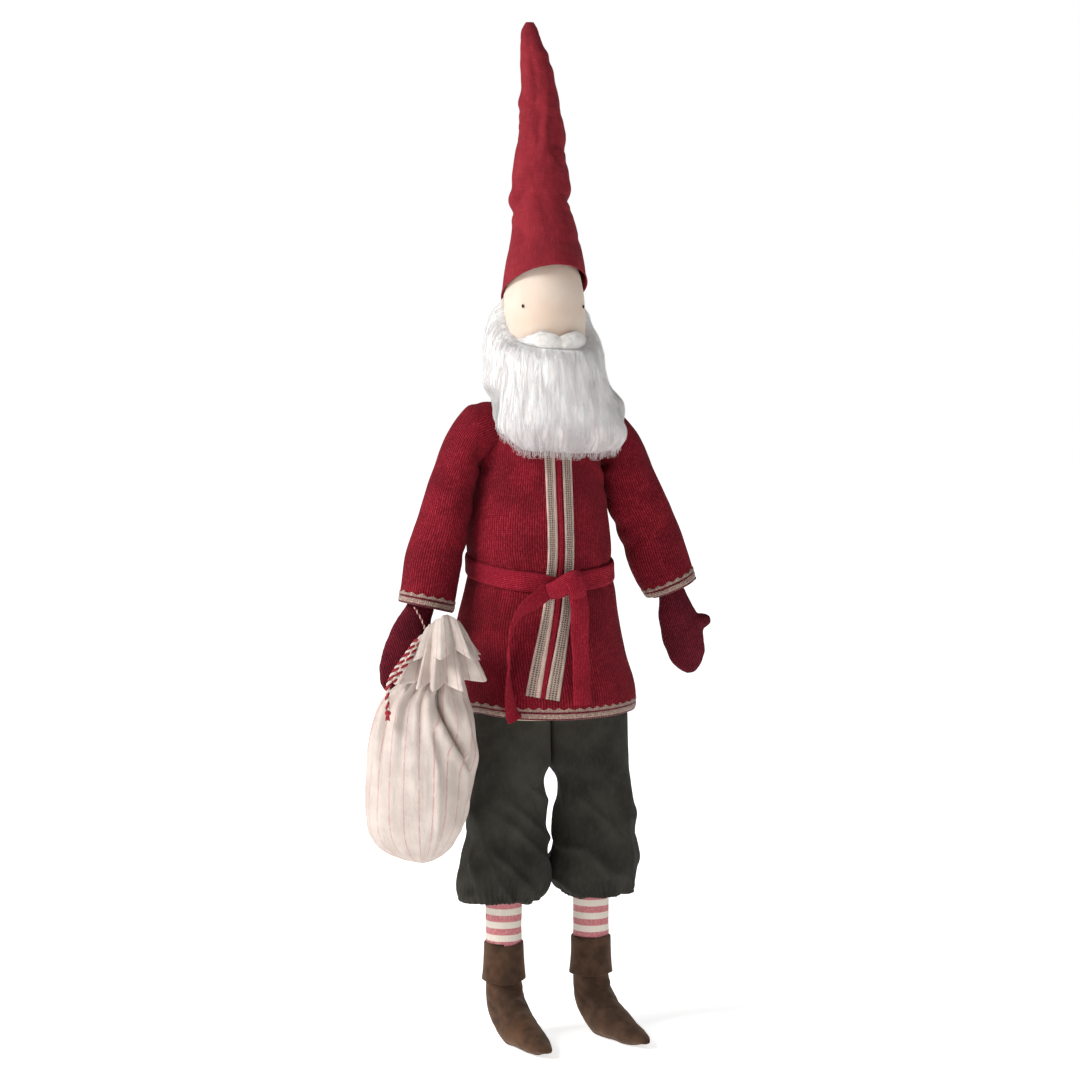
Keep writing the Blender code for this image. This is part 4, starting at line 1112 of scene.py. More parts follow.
def inflated(piece, frames, pressure, cap, pin=None, stiffness=15.0):
    """The piece blown up as cloth for some frames, no point moving further than cap, in mm."""
    before = points_of(piece)
    cloth = piece.modifiers.new("cloth", "CLOTH")
    settings = cloth.settings
    settings.use_pressure = True
    settings.uniform_pressure_force = pressure
    settings.tension_stiffness = settings.compression_stiffness = stiffness
    settings.bending_stiffness = 0.4
    settings.mass = 0.2
    settings.effector_weights.gravity = 0.0
    cloth.collision_settings.use_collision = False
    if pin is not None:
        group = piece.vertex_groups.new(name="pin")
        for index in np.flatnonzero(pin > 0):
            group.add([int(index)], float(pin[index]), "REPLACE")
        settings.vertex_group_mass = "pin"
    cloth.point_cache.frame_end = frames
    scene = bpy.context.scene
    for number in range(1, frames + 1):
        scene.frame_set(number)
    settled(piece)
    scene.frame_set(1)
    after = points_of(piece)
    move = after - before
    far = np.linalg.norm(move, axis=1, keepdims=True)
    set_points(piece, before + move * np.minimum(1, cap / np.maximum(far, 1e-6)))
    return piece


def make_mitten(side, sign):
    """A padded mitten, blown up as cloth, with a seam round its edge."""
    piece = remeshed(f"mitten_knit_{side}", f"mitten_{side}", 1.6, finishes["maroon_knit"], 8)
    inflated(piece, 12, 2.0, 1.5)
    low, high = box_mm(f"mitten_{side}")
    way = unit((sign * 0.30, 0.0, 1.0))
    right = np.cross(BACK, way)
    points, outward = points_of(piece), normals_of(piece)
    rub = 0.5 * grain(points, 9, 21) + 0.25 * grain(points, 4, 22)
    seam = np.abs(points[:, 1] - (low[1] + high[1]) / 2)
    rub -= 0.7 * hump(0, 0.8, seam) * (np.abs(outward[:, 1]) < 0.5)
    set_points(piece, points + outward * rub[:, None])
    flat_uv(piece, right, way)
    finer = piece.modifiers.new("finer", "SUBSURF")
    finer.levels = finer.render_levels = 1
    belongs(piece, f"arm_{side}", "maroon_knit", f"mitten_{side}")


def build_clothes():
    """Everything that the doll wears above its trousers."""
    tunic, tunic_grid = make_tunic()
    tree = ray_tree(tunic.data)
    make_placket(tree)
    make_hem(tree, tunic_grid)
    make_collar()
    make_belt(tree)
    make_knot()
    make_tails()
    for side, sign in (("left", 1), ("right", -1)):
        make_cuff(side, make_sleeve(side, sign))
        make_mitten(side, sign)


build_clothes()


# ================================ hat and head ================================================
HEAD_X, HEAD_Y, HEAD_RADIUS = 0.0, -8.0, 30.3
# height, middle x, middle y, fall of the ring towards the back, width against the frame's
HAT_LINE = (
    (80.3, 0, -8, 0.51, 0.935), (93, 0.8, -6.5, 0.40, 0.955), (106, 1.6, -4.5, 0.26, 0.98),
    (128, 1.9, -1, 0.12, 1.0), (150, 0.9, 1.5, 0.06, 1.0), (164, 2, 3, 0.0, 1.0), (188, 2.6, 6, 0.0, 1.01),
    (211, 3.8, 9, 0.0, 1.02), (232, 3.2, 12, 0.0, 0.99), (250, 0.6, 16, 0.0, 0.95),
    (266, -0.2, 21, 0.0, 1.06), (273.2, 0, 22, 0.0, 1.1),
)


def fold_over(d, width):
    """A fold of cloth seen across it: bulging above its line, and pinched just under it."""
    return hump(0.55 * width, 0.55 * width, d) - 0.95 * hump(-0.28 * width, 0.30 * width, d)


def make_hat():
    """The tall hat with its sagging folds and turned brim, and the wadding in it."""
    z, x, y, fall, wide = (np.array(v) for v in zip(*HAT_LINE))
    heights = np.concatenate((np.linspace(272.9, 262, 12), np.linspace(260, 80.3, 118)))
    fall = along_curve(z, fall, heights)
    centres = np.stack((along_curve(z, x, heights), along_curve(z, y, heights), heights), axis=1)
    across = unit(np.stack((np.zeros_like(fall), np.ones_like(fall), -fall), axis=1))
    along = np.tile((-1.0, 0, 0), (len(heights), 1))
    grid = wrapped(["hat"], centres, across, along, 144, smooth=(2.0, 4.0), reach=60, least=0.5)
    x, y = centres[:, None, 0], centres[:, None, 1]
    grid[..., 0] = x + (grid[..., 0] - x) * along_curve(z, wide, heights)[:, None]
    b = np.degrees(np.arctan2(grid[..., 0] - x, -(grid[..., 1] - y)))
    h = grid[..., 2]
    amount = 0
    # each fold's height, its level, its width, and the bearing it is at and how far it reaches
    for size, level, width, bearing_at, reach in (
            (3.4, 137 + 15 * ease(-115, -45, b), 11, -88, 42), (3.0, 151 - 7 * ease(20, 90, b), 12, 74, 36),
            (1.2, 204 - 0.06 * b, 9, -105, 40), (1.1, 181 + 0.05 * b, 10, 88, 40),
            (1.5, 243 + 0.05 * b, 8, 62, 50)):
        amount = amount + size * fold_over(h - level, width) * hump(bearing_at, reach, b)
    amount += 1.2 * hump(-6 + (h - 200) * 0.35, 9, b) * hump(196, 26, h)
    amount -= 1.4 * hump(20 + (h - 180) * 0.3, 12, b) * hump(182, 30, h)
    amount += 1.1 * hump(-52, 14, b) * hump(232, 22, h) - 0.9 * hump(-30, 10, b) * hump(236, 20, h)
    body = ease(86, 125, h)
    crumple = grain(grid * (1, 1, 0.7), 13, 31)
    dents = np.abs(grain(grid * (1, 1, 0.8), 10, 33))
    amount += body * (1.1 * grain(grid, 24, 32) + 1.25 * crumple - 0.9 * dents)
    amount -= 1.5 * body * np.clip(1 - 3 * np.abs(grain(grid * (1, 1, 1.3), 26, 34)), 0, 1) ** 2
    thin = np.clip(np.linalg.norm(grid[..., :2] - centres[:, None, :2], axis=2) / 16, 0.25, 1)
    grid = pushed(grid, blurred(amount * thin, 0.8, 0.8))
    # the brim turns under by a few millimetres and its left end flicks out
    rim = grid[-1]
    out = unit((rim - centres[-1]) * (1, 1, 0))
    flick = hump(95, 24, b[-1])[:, None] * 1.6
    rows = [grid[:-2], (grid[-2] + out * (0.25 + 0.3 * flick))[None]]
    for drop, shift in ((0.4, 0.5), (0.9, 0.25), (0.9, -0.35), (0.3, -0.7), (-2.5, -0.75)):
        rows.append((rim + out * (shift + flick) - UP * drop)[None])
    grid = np.concatenate(rows)
    dressed("hat_linen", grid, "red_linen", "head", "hat", caps=(True, False))
    low, high = box_mm("hat_filling")
    level = grid.mean(axis=1)[:, 2]
    filling = narrowed(grid[(level > low[2]) & (level < high[2])], 0.75)
    dressed("hat_wool", filling, "stuffing", "head", "hat_filling", caps=(True, True))


def narrowed(grid, share):
    """Rings drawn in to that share of their width."""
    middles = grid.mean(axis=1)[:, None]
    return middles + (grid - middles) * share


def make_head():
    """The cotton head, all round."""
    low, high = box_mm("head")
    heights = np.concatenate((np.linspace(high[2] - 0.2, high[2] - 8, 6),
                              np.linspace(high[2] - 10, low[2] + 0.3, 60)))
    grid = wrapped(["head"], *level_rings(heights, HEAD_X, HEAD_Y), 112, smooth=(2.5, 4.0), reach=60, least=1)
    grid = pushed(grid, 0.18 * grain(grid, 14, 41) - 0.15 * ease(74, 84, grid[..., 2]))
    dressed("face", grid, "face_cotton", "head", "head", caps=(True, True))


def on_head(degrees, height, radius):
    """A place round the head's axis, 0 degrees in front and positive to the doll's left."""
    a = np.radians(degrees)
    x, y = HEAD_X + radius * np.sin(a), HEAD_Y - radius * np.cos(a)
    return np.stack(np.broadcast_arrays(x, y, height), axis=-1)


EYE_REACH = 30.25                          # from the head's axis to an eye's middle


def make_eyes():
    """Small upright knots of thread, half sunk in the face."""
    for side in ("left", "right"):
        middle = middle_of(f"eye_{side}")
        out = unit((middle - (HEAD_X, HEAD_Y, 0)) * (1, 1, 0))
        middle = np.array((HEAD_X, HEAD_Y, middle[2])) + out * EYE_REACH
        bm = bmesh.new()
        bmesh.ops.create_icosphere(bm, subdivisions=3, radius=1.0)
        for v in bm.verts:
            place = np.array(v.co) * (0.95, 0.95, 1.3)
            place -= out * (place @ out) * 0.45
            v.co = Vector((middle + place) * MM)
        name = f"eye_knot_{side}"
        knot = new_object(name, baked(name, bm), finishes["eye_thread"])
        belongs(knot, "head", "eye_thread", f"eye_{side}")


def moustache_grid(sign):
    """Rings of one felted roll, from under the middle of the face outwards."""
    count, cols = 44, 36
    t = np.linspace(0, 1, count)
    degrees = sign * (-1.2 + 59 * t)
    height = 40.2 + 1.4 * np.sin(math.pi * np.minimum(1, t * 1.3)) + 2.4 * t ** 1.5
    half = 6.0 * (1 - (2 * np.clip(t, 0, 0.36) / 0.72 - 1) ** 2 * 0.34) * (1 - ease(0.32, 1.02, t) * 0.90)
    depth = 5.2 * (0.80 + 0.20 * hump(0.3, 0.25, t)) * (1 - ease(0.45, 1.02, t) * 0.85)
    turn = TAU * np.arange(cols) / cols
    grid = np.array([
        on_head(np.full(cols, a), h + k * np.cos(turn),
                HEAD_RADIUS + 0.3 + d * 0.60 + d * 0.66 * np.sin(turn))
        for a, h, k, d in zip(degrees, height, half, depth)])
    if sign < 0:
        grid = grid[:, ::-1]
    return pushed(grid, 0.5 * grain(grid, 6, 51) + 0.25 * grain(grid * (1, 1, 2.2), 3, 52))


def make_moustache():
    """Two felted rolls that meet under the middle of the face and taper outwards."""
    for side, sign in (("left", 1), ("right", -1)):
        piece = dressed(f"moustache_felt_{side}", moustache_grid(sign), "wool_felt", "head",
                        f"moustache_{side}", caps=(True, True), subdivide=1)


# ================================ beard =======================================================
WOOL_REACH_LEFT, WOOL_REACH_RIGHT = 52.0, 46.0  # how far to the sides the wool lies on the chest
WOOL_EASING = 9.0                          # over how much of that it turns from the sleeves
BEARD_BACK = -25.0                         # its inner face below the chin, in front of the neck
BEARD_SIDE = 106                           # half its reach round the head, in degrees
# degrees round the head and height: the wool's upper edge, then its fringe
CHEEK = ((0, 37.2), (28, 38), (44, 40), (58, 43.0), (72, 47.5), (84, 55), (96, 66), (106, 73))
FRINGE = ((-106, 24), (-94, 7), (-82, -4), (-70, -16), (-58, -24), (-44, -31.5), (-28, -36.5), (0, -36.5),
          (28, -37), (44, -35), (56, -31.5), (66, -27.5), (76, -16), (86, -4), (96, 8), (106, 24))
# height, its outside in front and at the sides, measured from the head's axis
BEARD_FORM = ((74, 33, 34.5), (60, 35.5, 39.5), (46, 39.5, 44), (34, 43, 46.8), (20, 45.2, 48.2),
              (5, 46.8, 50.5), (-8, 47.6, 53.0), (-20, 47.6, 54.5), (-32, 46.0, 53.5), (-46, 43, 50))


def table_of(pairs, x):
    """A table of bearings read at x, the same on both sides."""
    keys, values = zip(*pairs)
    return np.interp(np.abs(x), keys, values)


def beard_outside(degrees, height):
    """How far from the head's axis the wool's outside stands."""
    z, front, sides = zip(*BEARD_FORM[::-1])
    share = ease(10, 66, np.abs(degrees))
    flare = 11.0 * hump(50, 15, degrees) * ease(0, -30, height)
    narrow = np.where(degrees > 0, 5.0 * hump(30, 24, height), 4.0 * hump(16, 24, height)) * share
    return np.interp(height, z, front) * (1 - share) + np.interp(height, z, sides) * share + flare - narrow


def make_beard():
    """The wool round the jaw and down the chest; returns its outer face."""
    count, rows = 150, 46
    degrees = np.linspace(-BEARD_SIDE, BEARD_SIDE, count)[:, None]
    top, foot = table_of(CHEEK, degrees), np.interp(degrees, *zip(*FRINGE))
    share = np.linspace(0, 1, rows)[None]
    clump = np.stack((np.radians(degrees) * 46, 0 * degrees, 0 * degrees), axis=-1)
    foot = foot + 2.2 * grain(clump, 8, 64) + 1.0 * grain(clump, 3.5, 65)
    height = foot + (top - foot) * share
    swell = np.sqrt(np.clip(1 - (1 - np.minimum(1, (1 - share) / 0.22)) ** 2, 0, 1))
    swell *= np.sqrt(np.clip(1 - (1 - np.minimum(1, (share + 0.02) / 0.16)) ** 2, 0, 1)) * 0.5 + 0.5
    edge = np.clip((BEARD_SIDE - np.abs(degrees)) / 12, 0, 1)
    swell = swell * (0.2 + 0.8 * np.sqrt(edge * (2 - edge)))
    inner = np.where(height > 8, HEAD_RADIUS + 0.4, np.interp(height, (-46, 8), (39.5, HEAD_RADIUS + 0.4)))
    inner = inner - 1.2 * ease(0.93, 1.0, share)
    outer = beard_outside(degrees, height)
    place = on_head(degrees, height, inner + (outer - inner) * swell)
    strand = np.stack((np.radians(degrees) * 46 + 0 * height, 0 * height + 5, height / 3.2), axis=-1)
    bulge = 1.3 * grain(strand, 8.5, 61) + 0.8 * grain(strand, 4.2, 62) + 1.1 * grain(place, 22, 63)
    # below the chin the wool stays in front of the shoulders and between the sleeves
    clear = ease(12, -4, height)
    most = np.where(degrees > 0, WOOL_REACH_LEFT, WOOL_REACH_RIGHT) + 11 * ease(-30, 12, height)
    past = np.maximum(0, np.abs(place[..., 0]) - most + WOOL_EASING)
    place[..., 0] = np.sign(place[..., 0]) * np.where(
        past > 0, most - WOOL_EASING + WOOL_EASING * np.tanh(past / WOOL_EASING), np.abs(place[..., 0]))
    front = -27 - 9 * ease(30, 50, np.abs(place[..., 0]))
    y = place[..., 1]
    place[..., 1] = np.where(y > front, y * (1 - clear) + front * clear, y)
    out = unit((place - (HEAD_X, HEAD_Y, 0)) * (1, 1, 0))
    face = place + out * (bulge * np.minimum(1, swell * 1.2))[..., None]
    back = on_head(degrees, height, inner)
    y = back[..., 1]
    back[..., 1] = np.where(y > BEARD_BACK, y * (1 - clear) + BEARD_BACK * clear, y)
    grid = np.concatenate((face, back[:, ::-1]), axis=1)
    dressed("beard_wool", grid, "white_wool", "head", "beard", caps=(True, True))
    return face


BEARD_FIBRES = 3400
FIBRE_RADIUS = 0.11
EDGE_SHARE = 0.18                          # of the fibres, laid over the cheeks' edge
FRINGE_PAST = 6.0                          # how far the loose wool hangs past the fringe


def make_beard_fibres(face):
    """Fine wool over the beard, combed down and a little loose at its fringe."""
    rng = np.random.default_rng(7)
    steps = 6
    count = BEARD_FIBRES
    points, faces = [], []
    rows, cols = face.shape[:2]
    roots = np.column_stack((rng.uniform(1, rows - 2, count), rng.uniform(0.03, 1.0, count)))
    lengths = rng.uniform(11, 27, count)
    low_edge = rng.uniform(0, 1, count) < EDGE_SHARE
    roots[low_edge, 1] = rng.uniform(0.0, 0.16, low_edge.sum())
    edge = rng.uniform(0, 1, count) < EDGE_SHARE
    roots[edge, 1] = rng.uniform(0.965, 1.045, edge.sum())
    lengths[edge] *= 0.5
    for (along, share), length in zip(roots, lengths):
        j = share * (cols - 1)
        drift = rng.normal(0, 0.9)
        lift = abs(rng.normal(0, 0.45)) + 0.1
        bend = rng.uniform(-1.6, 1.6)
        path = []
        for k in range(steps + 1):
            run = k / steps
            down = j - length * run / (cols_height(face, along) / (cols - 1))
            a = along + drift * run * 1.6 + 0.8 * bend * math.sin(run * 3.0)
            a = min(max(a, 0.0), rows - 1.001)
            past = min(0.0, down)
            p, out = point_on(face, a, min(max(down, 0.0), cols - 1.001))
            above = max(0.0, down - (cols - 1)) * cols_height(face, along) / (cols - 1)
            p = p + UP * above
            most = FRINGE_PAST * (0.4 + 0.6 * abs(bend) / 1.6)
            drop = max(past * cols_height(face, along) / (cols - 1), -most)
            p = p + out * (lift * (0.25 + run) + 0.25 * math.sin(run * 5 + bend)) + UP * drop * 0.9
            if past < 0:
                p = p + out * (drop * 0.12) + np.array((0.12 * drop * bend, 0, 0))
            path.append(p)
        hair(points, faces, np.array(path))
    mesh = mesh_of("beard_fibres", points, faces)
    belongs(new_object("beard_fibres", mesh, finishes["wool_fibre"]), "head", "white_wool")


def cols_height(face, along):
    """How high the beard's face stands at one place round it."""
    line = face[int(along)]
    return float(line[-1, 2] - line[0, 2]) if line[-1, 2] > line[0, 2] else 1.0


def point_on(face, a, b):
    """A place on a grid between its points, and the way out from the head there."""
    i, j = int(a), int(min(b, face.shape[1] - 1.001))
    u, v = a - i, min(b, face.shape[1] - 1.001) - j
    p = ((1 - u) * (1 - v) * face[i, j] + u * (1 - v) * face[i + 1, j]
         + (1 - u) * v * face[i, j + 1] + u * v * face[i + 1, j + 1])
    out = (p - (HEAD_X, HEAD_Y, 0)) * (1, 1, 0)
    return p, out / max(np.linalg.norm(out), 1e-6)


def make_moustache_fibres():
    """Short wool over the moustache, combed outwards from its middle."""
    rng = np.random.default_rng(9)
    points, faces = [], []
    for sign in (1, -1):
        grid = moustache_grid(sign)
        rows, cols = grid.shape[:2]
        for _ in range(520):
            i, j = rng.uniform(0, rows * 0.8), rng.integers(0, cols)
            length = rng.uniform(3.0, 6.5)
            around = rng.normal(0, 1.4)
            path = []
            for k in range(5):
                u = min(i + length * k / 4 / 0.72, rows - 1.001)
                column = (j + around * k / 4) % cols
                a, c = int(u), int(column)
                p = grid[a, c] * (1 - u + a) + grid[a + 1, c] * (u - a)
                middle = grid[a].mean(axis=0)
                out = (p - middle) / max(np.linalg.norm(p - middle), 1e-6)
                path.append(p + out * (0.15 + 0.5 * (k / 4) ** 2 * rng.uniform(0.2, 1.6)))
            hair(points, faces, np.array(path))
    mesh = mesh_of("moustache_fibres", points, faces)
    belongs(new_object("moustache_fibres", mesh, finishes["wool_fibre"]), "head", "wool_felt")


def hair(points, faces, path):
    """A fine tapered fibre along a path, added to lists of points and faces."""
    start, steps, sides = len(points), len(path) - 1, 3
    way = unit(np.gradient(path, axis=0) + 1e-9)
    side = unit(np.cross(way, (0.3, 1.0, 0.1)))
    other = np.cross(way, side)
    width = FIBRE_RADIUS * (1 - 0.75 * np.linspace(0, 1, steps + 1) ** 2)
    for k in range(steps + 1):
        for s in range(sides):
            t = TAU * s / sides
            points.append(path[k] + width[k] * (math.cos(t) * side[k] + math.sin(t) * other[k]))
    for k in range(steps):
        for s in range(sides):
            q = (s + 1) % sides
            faces.append((start + k * sides + s, start + k * sides + q,
                          start + (k + 1) * sides + q, start + (k + 1) * sides + s))


make_hat()
make_head()
make_eyes()
make_moustache()
make_moustache_fibres()
make_beard_fibres(make_beard())


# ================================ trousers ====================================================
CROTCH = -264.0
LEGS_MEET = 6.0                            # the legs' seam, left of the middle as the hips lean
LEG_TOP = -220.0
SEAT_INSET = 1.5                           # inside the frame's own seat, clear of the tunic
FULL_HEIGHT = -344.0                       # the legs stay this full down to the hem


def make_seat():
    """The seat inside the tunic, which narrows and closes where the legs begin."""
    heights = np.linspace(box_mm("trouser_seat")[1][2] - 1, LEG_TOP - 2, 40)
    grid = wrapped(["trouser_seat"], *level_rings(heights, 4, -4), 120, smooth=(2, 4), least=15)
    grid = pushed(grid, np.full(grid.shape[:2], -SEAT_INSET))
    foot = grid[-1]
    middle = np.array((LEGS_MEET, 0, 0.0))
    rows = []
    for share, drop in ((0.9, 2.0), (0.75, 3.0), (0.5, 4.0), (0.2, 4.6)):
        rows.append((middle + (foot - middle) * (share, share, 1) - UP * drop)[None])
    grid = np.concatenate((grid, *rows))
    dressed("seat", grid, "olive_cotton", "torso", "trouser_seat", caps=(False, True))


HEM_TURN = -338.0                          # the hem starts to draw in here, on the inner side
HEM_DRAWN = 9.5                            # how far it draws in at its foot
ELASTIC = 14.1                             # the elastic's radius round the stocking
# share of the way out from the elastic, and how far below the hem's own foot
HEM_FOLD = ((0.97, 1.0), (0.86, 1.9), (0.66, 2.3), (0.42, 2.2), (0.2, 1.7), (0.06, 0.9), (0.0, -0.6))


def make_trouser(side, sign):
    """A full trouser leg, gathered at its hem."""
    place = joint_place(f"hip_{side}")
    x0 = place[0]
    low = box_mm(f"trouser_leg_{side}")[0]
    heights = np.linspace(-248, low[2] + 3.2, 74)
    lean = sign * np.interp(heights, (low[2], -320, -289, -254), (0, 2, 3.4, 0))
    ring = wrapped([f"trouser_leg_{side}"], *level_rings(heights, x0 + lean, 0), 180,
                   smooth=(2.5, 5), least=8)
    full = int(np.argmax(heights < FULL_HEIGHT))
    wide = np.interp(heights[full:], (low[2] + 3.2, -356, FULL_HEIGHT), (0.975, 1.0, 1.0))[:, None, None]
    centre = np.array((x0, 0, 0.0))
    ring[full:, :, :2] = (ring[full][None, :, :2] - centre[:2]) * wide + centre[:2]
    above = np.linspace(LEG_TOP, -246.5, 18)
    top = np.repeat(ring[:1], len(above), axis=0)
    top[..., 2] = above[:, None]
    ring = np.concatenate((top, ring))
    z = ring[..., 2]
    # above the crotch the inner half squares up and reaches the seam
    turn = TAU * np.arange(180)[None] / 180
    inward = -sign * -np.sin(turn)
    reach = abs(x0 - LEGS_MEET) + 0.2
    half, depth = np.where(inward > 0, reach, 28.4), np.interp(z, (-262, LEG_TOP), (20.8, 16.5))
    power = np.where(inward > 0, 0.62, 0.92)
    x = x0 - sign * half * np.sign(inward) * np.abs(inward) ** power
    narrow = np.interp(z, (-262, LEG_TOP), (1.0, 0.965))
    x = np.where(inward > 0, x, x0 + (x - x0) * narrow)
    y = depth * np.sign(np.cos(turn)) * np.abs(np.cos(turn)) ** power
    square = ease(CROTCH - 15, CROTCH + 3, z)
    ring[..., 0] += (x - ring[..., 0]) * square
    ring[..., 1] += (y - ring[..., 1]) * square
    ring = np.concatenate((blurred(ring, 1.5, 0)[..., :2], z[..., None]), axis=2)
    z = ring[..., 2]
    seed = 70 if sign > 0 else 75
    low_part = ease(-262, -320, z)
    turned = ring + np.stack((0.5 * z, 0 * z, 0.35 * ring[..., 0]), axis=2)
    ridge = 1 - 2.4 * np.abs(grain(turned * (1, 1, 0.8), 30, seed + 1))
    amount = 1.9 * grain(ring * (1, 1, 0.6), 30, seed) * (0.4 + 0.6 * low_part)
    amount += 2.3 * np.clip(ridge, 0, 1) ** 2 * (0.35 + low_part) - 0.9
    steep = ring * (1, 1, 0) + np.stack((0.16 * z, 0 * z, 0.12 * z), axis=2)
    drape = 1 - 2.8 * np.abs(grain(steep, 19, seed + 6))
    amount += 1.3 * np.clip(drape, 0, 1) ** 2 * ease(-270, -300, z)
    amount += 0.6 * grain(ring * (1, 1, 0.7), 9, seed + 2)
    bag = hump(-341, 17, z)
    amount += 1.4 * bag
    pleat = np.cos(46 * turn + 2.2 * grain(ring * (1, 1, 0), 12, seed + 3) + 0.06 * (z + 350))
    tight = np.clip(0.55 + 0.9 * grain(ring * (1, 1, 0), 20, seed + 4), 0.15, 1.2)
    amount += 1.6 * pleat * tight * ease(-338, -359, z)
    amount *= 1 - 0.8 * square
    grid = pushed(ring, blurred(1.3 * amount, 1.0, 0.6))
    # the puffed hem draws in on the inner side
    low_run = np.clip((HEM_TURN - grid[..., 2]) / (HEM_TURN - low[2] - 3), 0, 1)
    drawn = HEM_DRAWN * (1 - np.sqrt(1 - low_run ** 2)) * np.clip(inward, 0, 1) ** 0.7
    grid[..., 0] += sign * drawn
    grid[..., 2] += ease(-345, -360, z) * 1.3 * grain(grid * (1, 1, 0), 11, seed + 5)
    # the hem turns in to the elastic round the stocking
    foot = grid[-1]
    middle = np.array((x0, 0, 0.0))
    out = (foot - middle) * (1, 1, 0)
    far = np.linalg.norm(out, axis=1, keepdims=True)
    out = out / far
    rows = []
    for share, drop in HEM_FOLD:
        radius = ELASTIC + (far - ELASTIC) * share + 1.0 * (pleat * tight)[-1][:, None] * share
        rows.append((middle * (1, 1, 0) + out * radius + UP * (foot[:, 2:3] - drop))[None])
    grid = np.concatenate((grid, *rows))
    piece = sheet_piece(f"trouser_{side}", grid, finishes["olive_cotton"])
    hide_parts(f"trouser_leg_{side}")
    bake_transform(piece)


# ================================ stockings and boots =========================================
CUFF_DROP = 2.6                            # the cuff's fold below the frame's own
STRIPE_TOP = {"left": -5.2, "right": -3.2}  # shifts the stripes on each leg


def make_stocking(side):
    """A striped stocking between trouser and boot."""
    low, high = box_mm(f"boot_cuff_{side}")
    middle = (low + high) / 2
    heights = np.linspace(-340, high[2] - 6, 44)
    radius = np.interp(heights, (-391, -366, -352, -340), (13.1, 13.2, 13.5, 14.0))
    turn = TAU * np.arange(64) / 64
    grid = np.array([[(middle[0] - r * math.sin(t), middle[1] + r * math.cos(t), z) for t in turn]
                     for z, r in zip(heights, radius)])
    grid = pushed(grid, 0.35 * grain(grid, 9, 81))
    uv = run_lengths(grid)
    uv[..., 1] = heights[:, None] + STRIPE_TOP[side]
    dressed(f"stocking_{side}", grid, "striped_jersey", f"leg_{side}", f"leg_{side}", uv=uv)


def foot_frame(side):
    """The ankle's middle and the directions forwards and sideways of a foot."""
    heading = math.radians({"left": 14, "right": 8}[side])
    forward = np.array((math.sin(heading), -math.cos(heading), 0))
    return middle_of(f"boot_cuff_{side}"), forward, np.array((math.cos(heading), math.sin(heading), 0))


# ahead of the ankle's middle and height, down the leg and along the foot
FOOT_LINE = ((0, -393), (0, -400), (0, -408), (0, -416), (0.3, -424), (1.2, -431), (3.4, -438), (8.0, -444.5),
             (14.5, -449), (22, -451.8), (31, -453.8), (40, -455.6), (49, -457.6), (57, -459.2), (63, -460.6),
             (67.5, -461.6), (69.6, -462.0))


# ahead of the ankle's middle, and half the sole's width there
SOLE_OUTLINE = ((-6, 3.0), (-3, 6.2), (4, 8.6), (14, 9.4), (26, 9.3), (38, 8.8), (48, 7.6), (57, 5.6),
                (63, 3.2), (65, 1.2))


def make_boot(side, sign):
    """A soft suede boot along the foot's line."""
    ankle, forward, across_foot = foot_frame(side)
    line = joined([(*(ankle * (1, 1, 0) + forward * a)[:2], z) for a, z in FOOT_LINE], 96)
    way = unit(np.gradient(line, axis=0))
    along = np.tile(-across_foot, (len(line), 1))
    across = np.cross(way, along)
    grid = wrapped([f"boot_{side}"], line, across, along, 96, smooth=(2.0, 3.0), reach=60, least=0.5)
    local = grid - ankle * (1, 1, 0)
    ahead, height = local @ forward, grid[..., 2]
    depth = ease(-436, -463, height)
    lift = 8.0 * ease(20, -12, ahead) + 2.4 * ease(54, 70, ahead)
    grid[..., 2] += depth * lift
    crease = np.sin((grid[..., 2] + 0.5 * ahead) * 0.8) * hump(-433, 8, grid[..., 2]) * ease(-4, 10, ahead)
    amount = 0.8 * grain(grid, 15, 82 + sign) + 0.35 * grain(grid, 6, 83) + 0.55 * crease
    grid = pushed(grid, amount)
    return dressed(f"boot_suede_{side}", grid, "brown_suede", f"leg_{side}", f"boot_{side}",
                   caps=(False, True))


def make_boot_sole(side, boot):
    """A thin suede sole under the foot, following its rounded underside."""
    ankle, forward, across = foot_frame(side)
    tree = ray_tree(boot.data)
    ahead = np.linspace(SOLE_OUTLINE[0][0], SOLE_OUTLINE[-1][0], 46)
    half = np.interp(ahead, *zip(*SOLE_OUTLINE))
    rows = np.linspace(-1, 1, 15)
    starts = np.array([[ankle + forward * a + across * h * r for r in rows] for a, h in zip(ahead, half)])
    starts[..., 2] = -500.0
    ways = np.broadcast_to(UP, starts.shape)
    lift = 0.15 + 1.15 * (1 - np.abs(rows) ** 8)[None] * (1 - np.abs(np.linspace(-1, 1, 46)) ** 12)[:, None]
    grid = laid_on(tree, starts, ways, lift)
    dressed(f"sole_{side}", grid, "brown_suede", f"leg_{side}", f"boot_sole_{side}", closed=False)


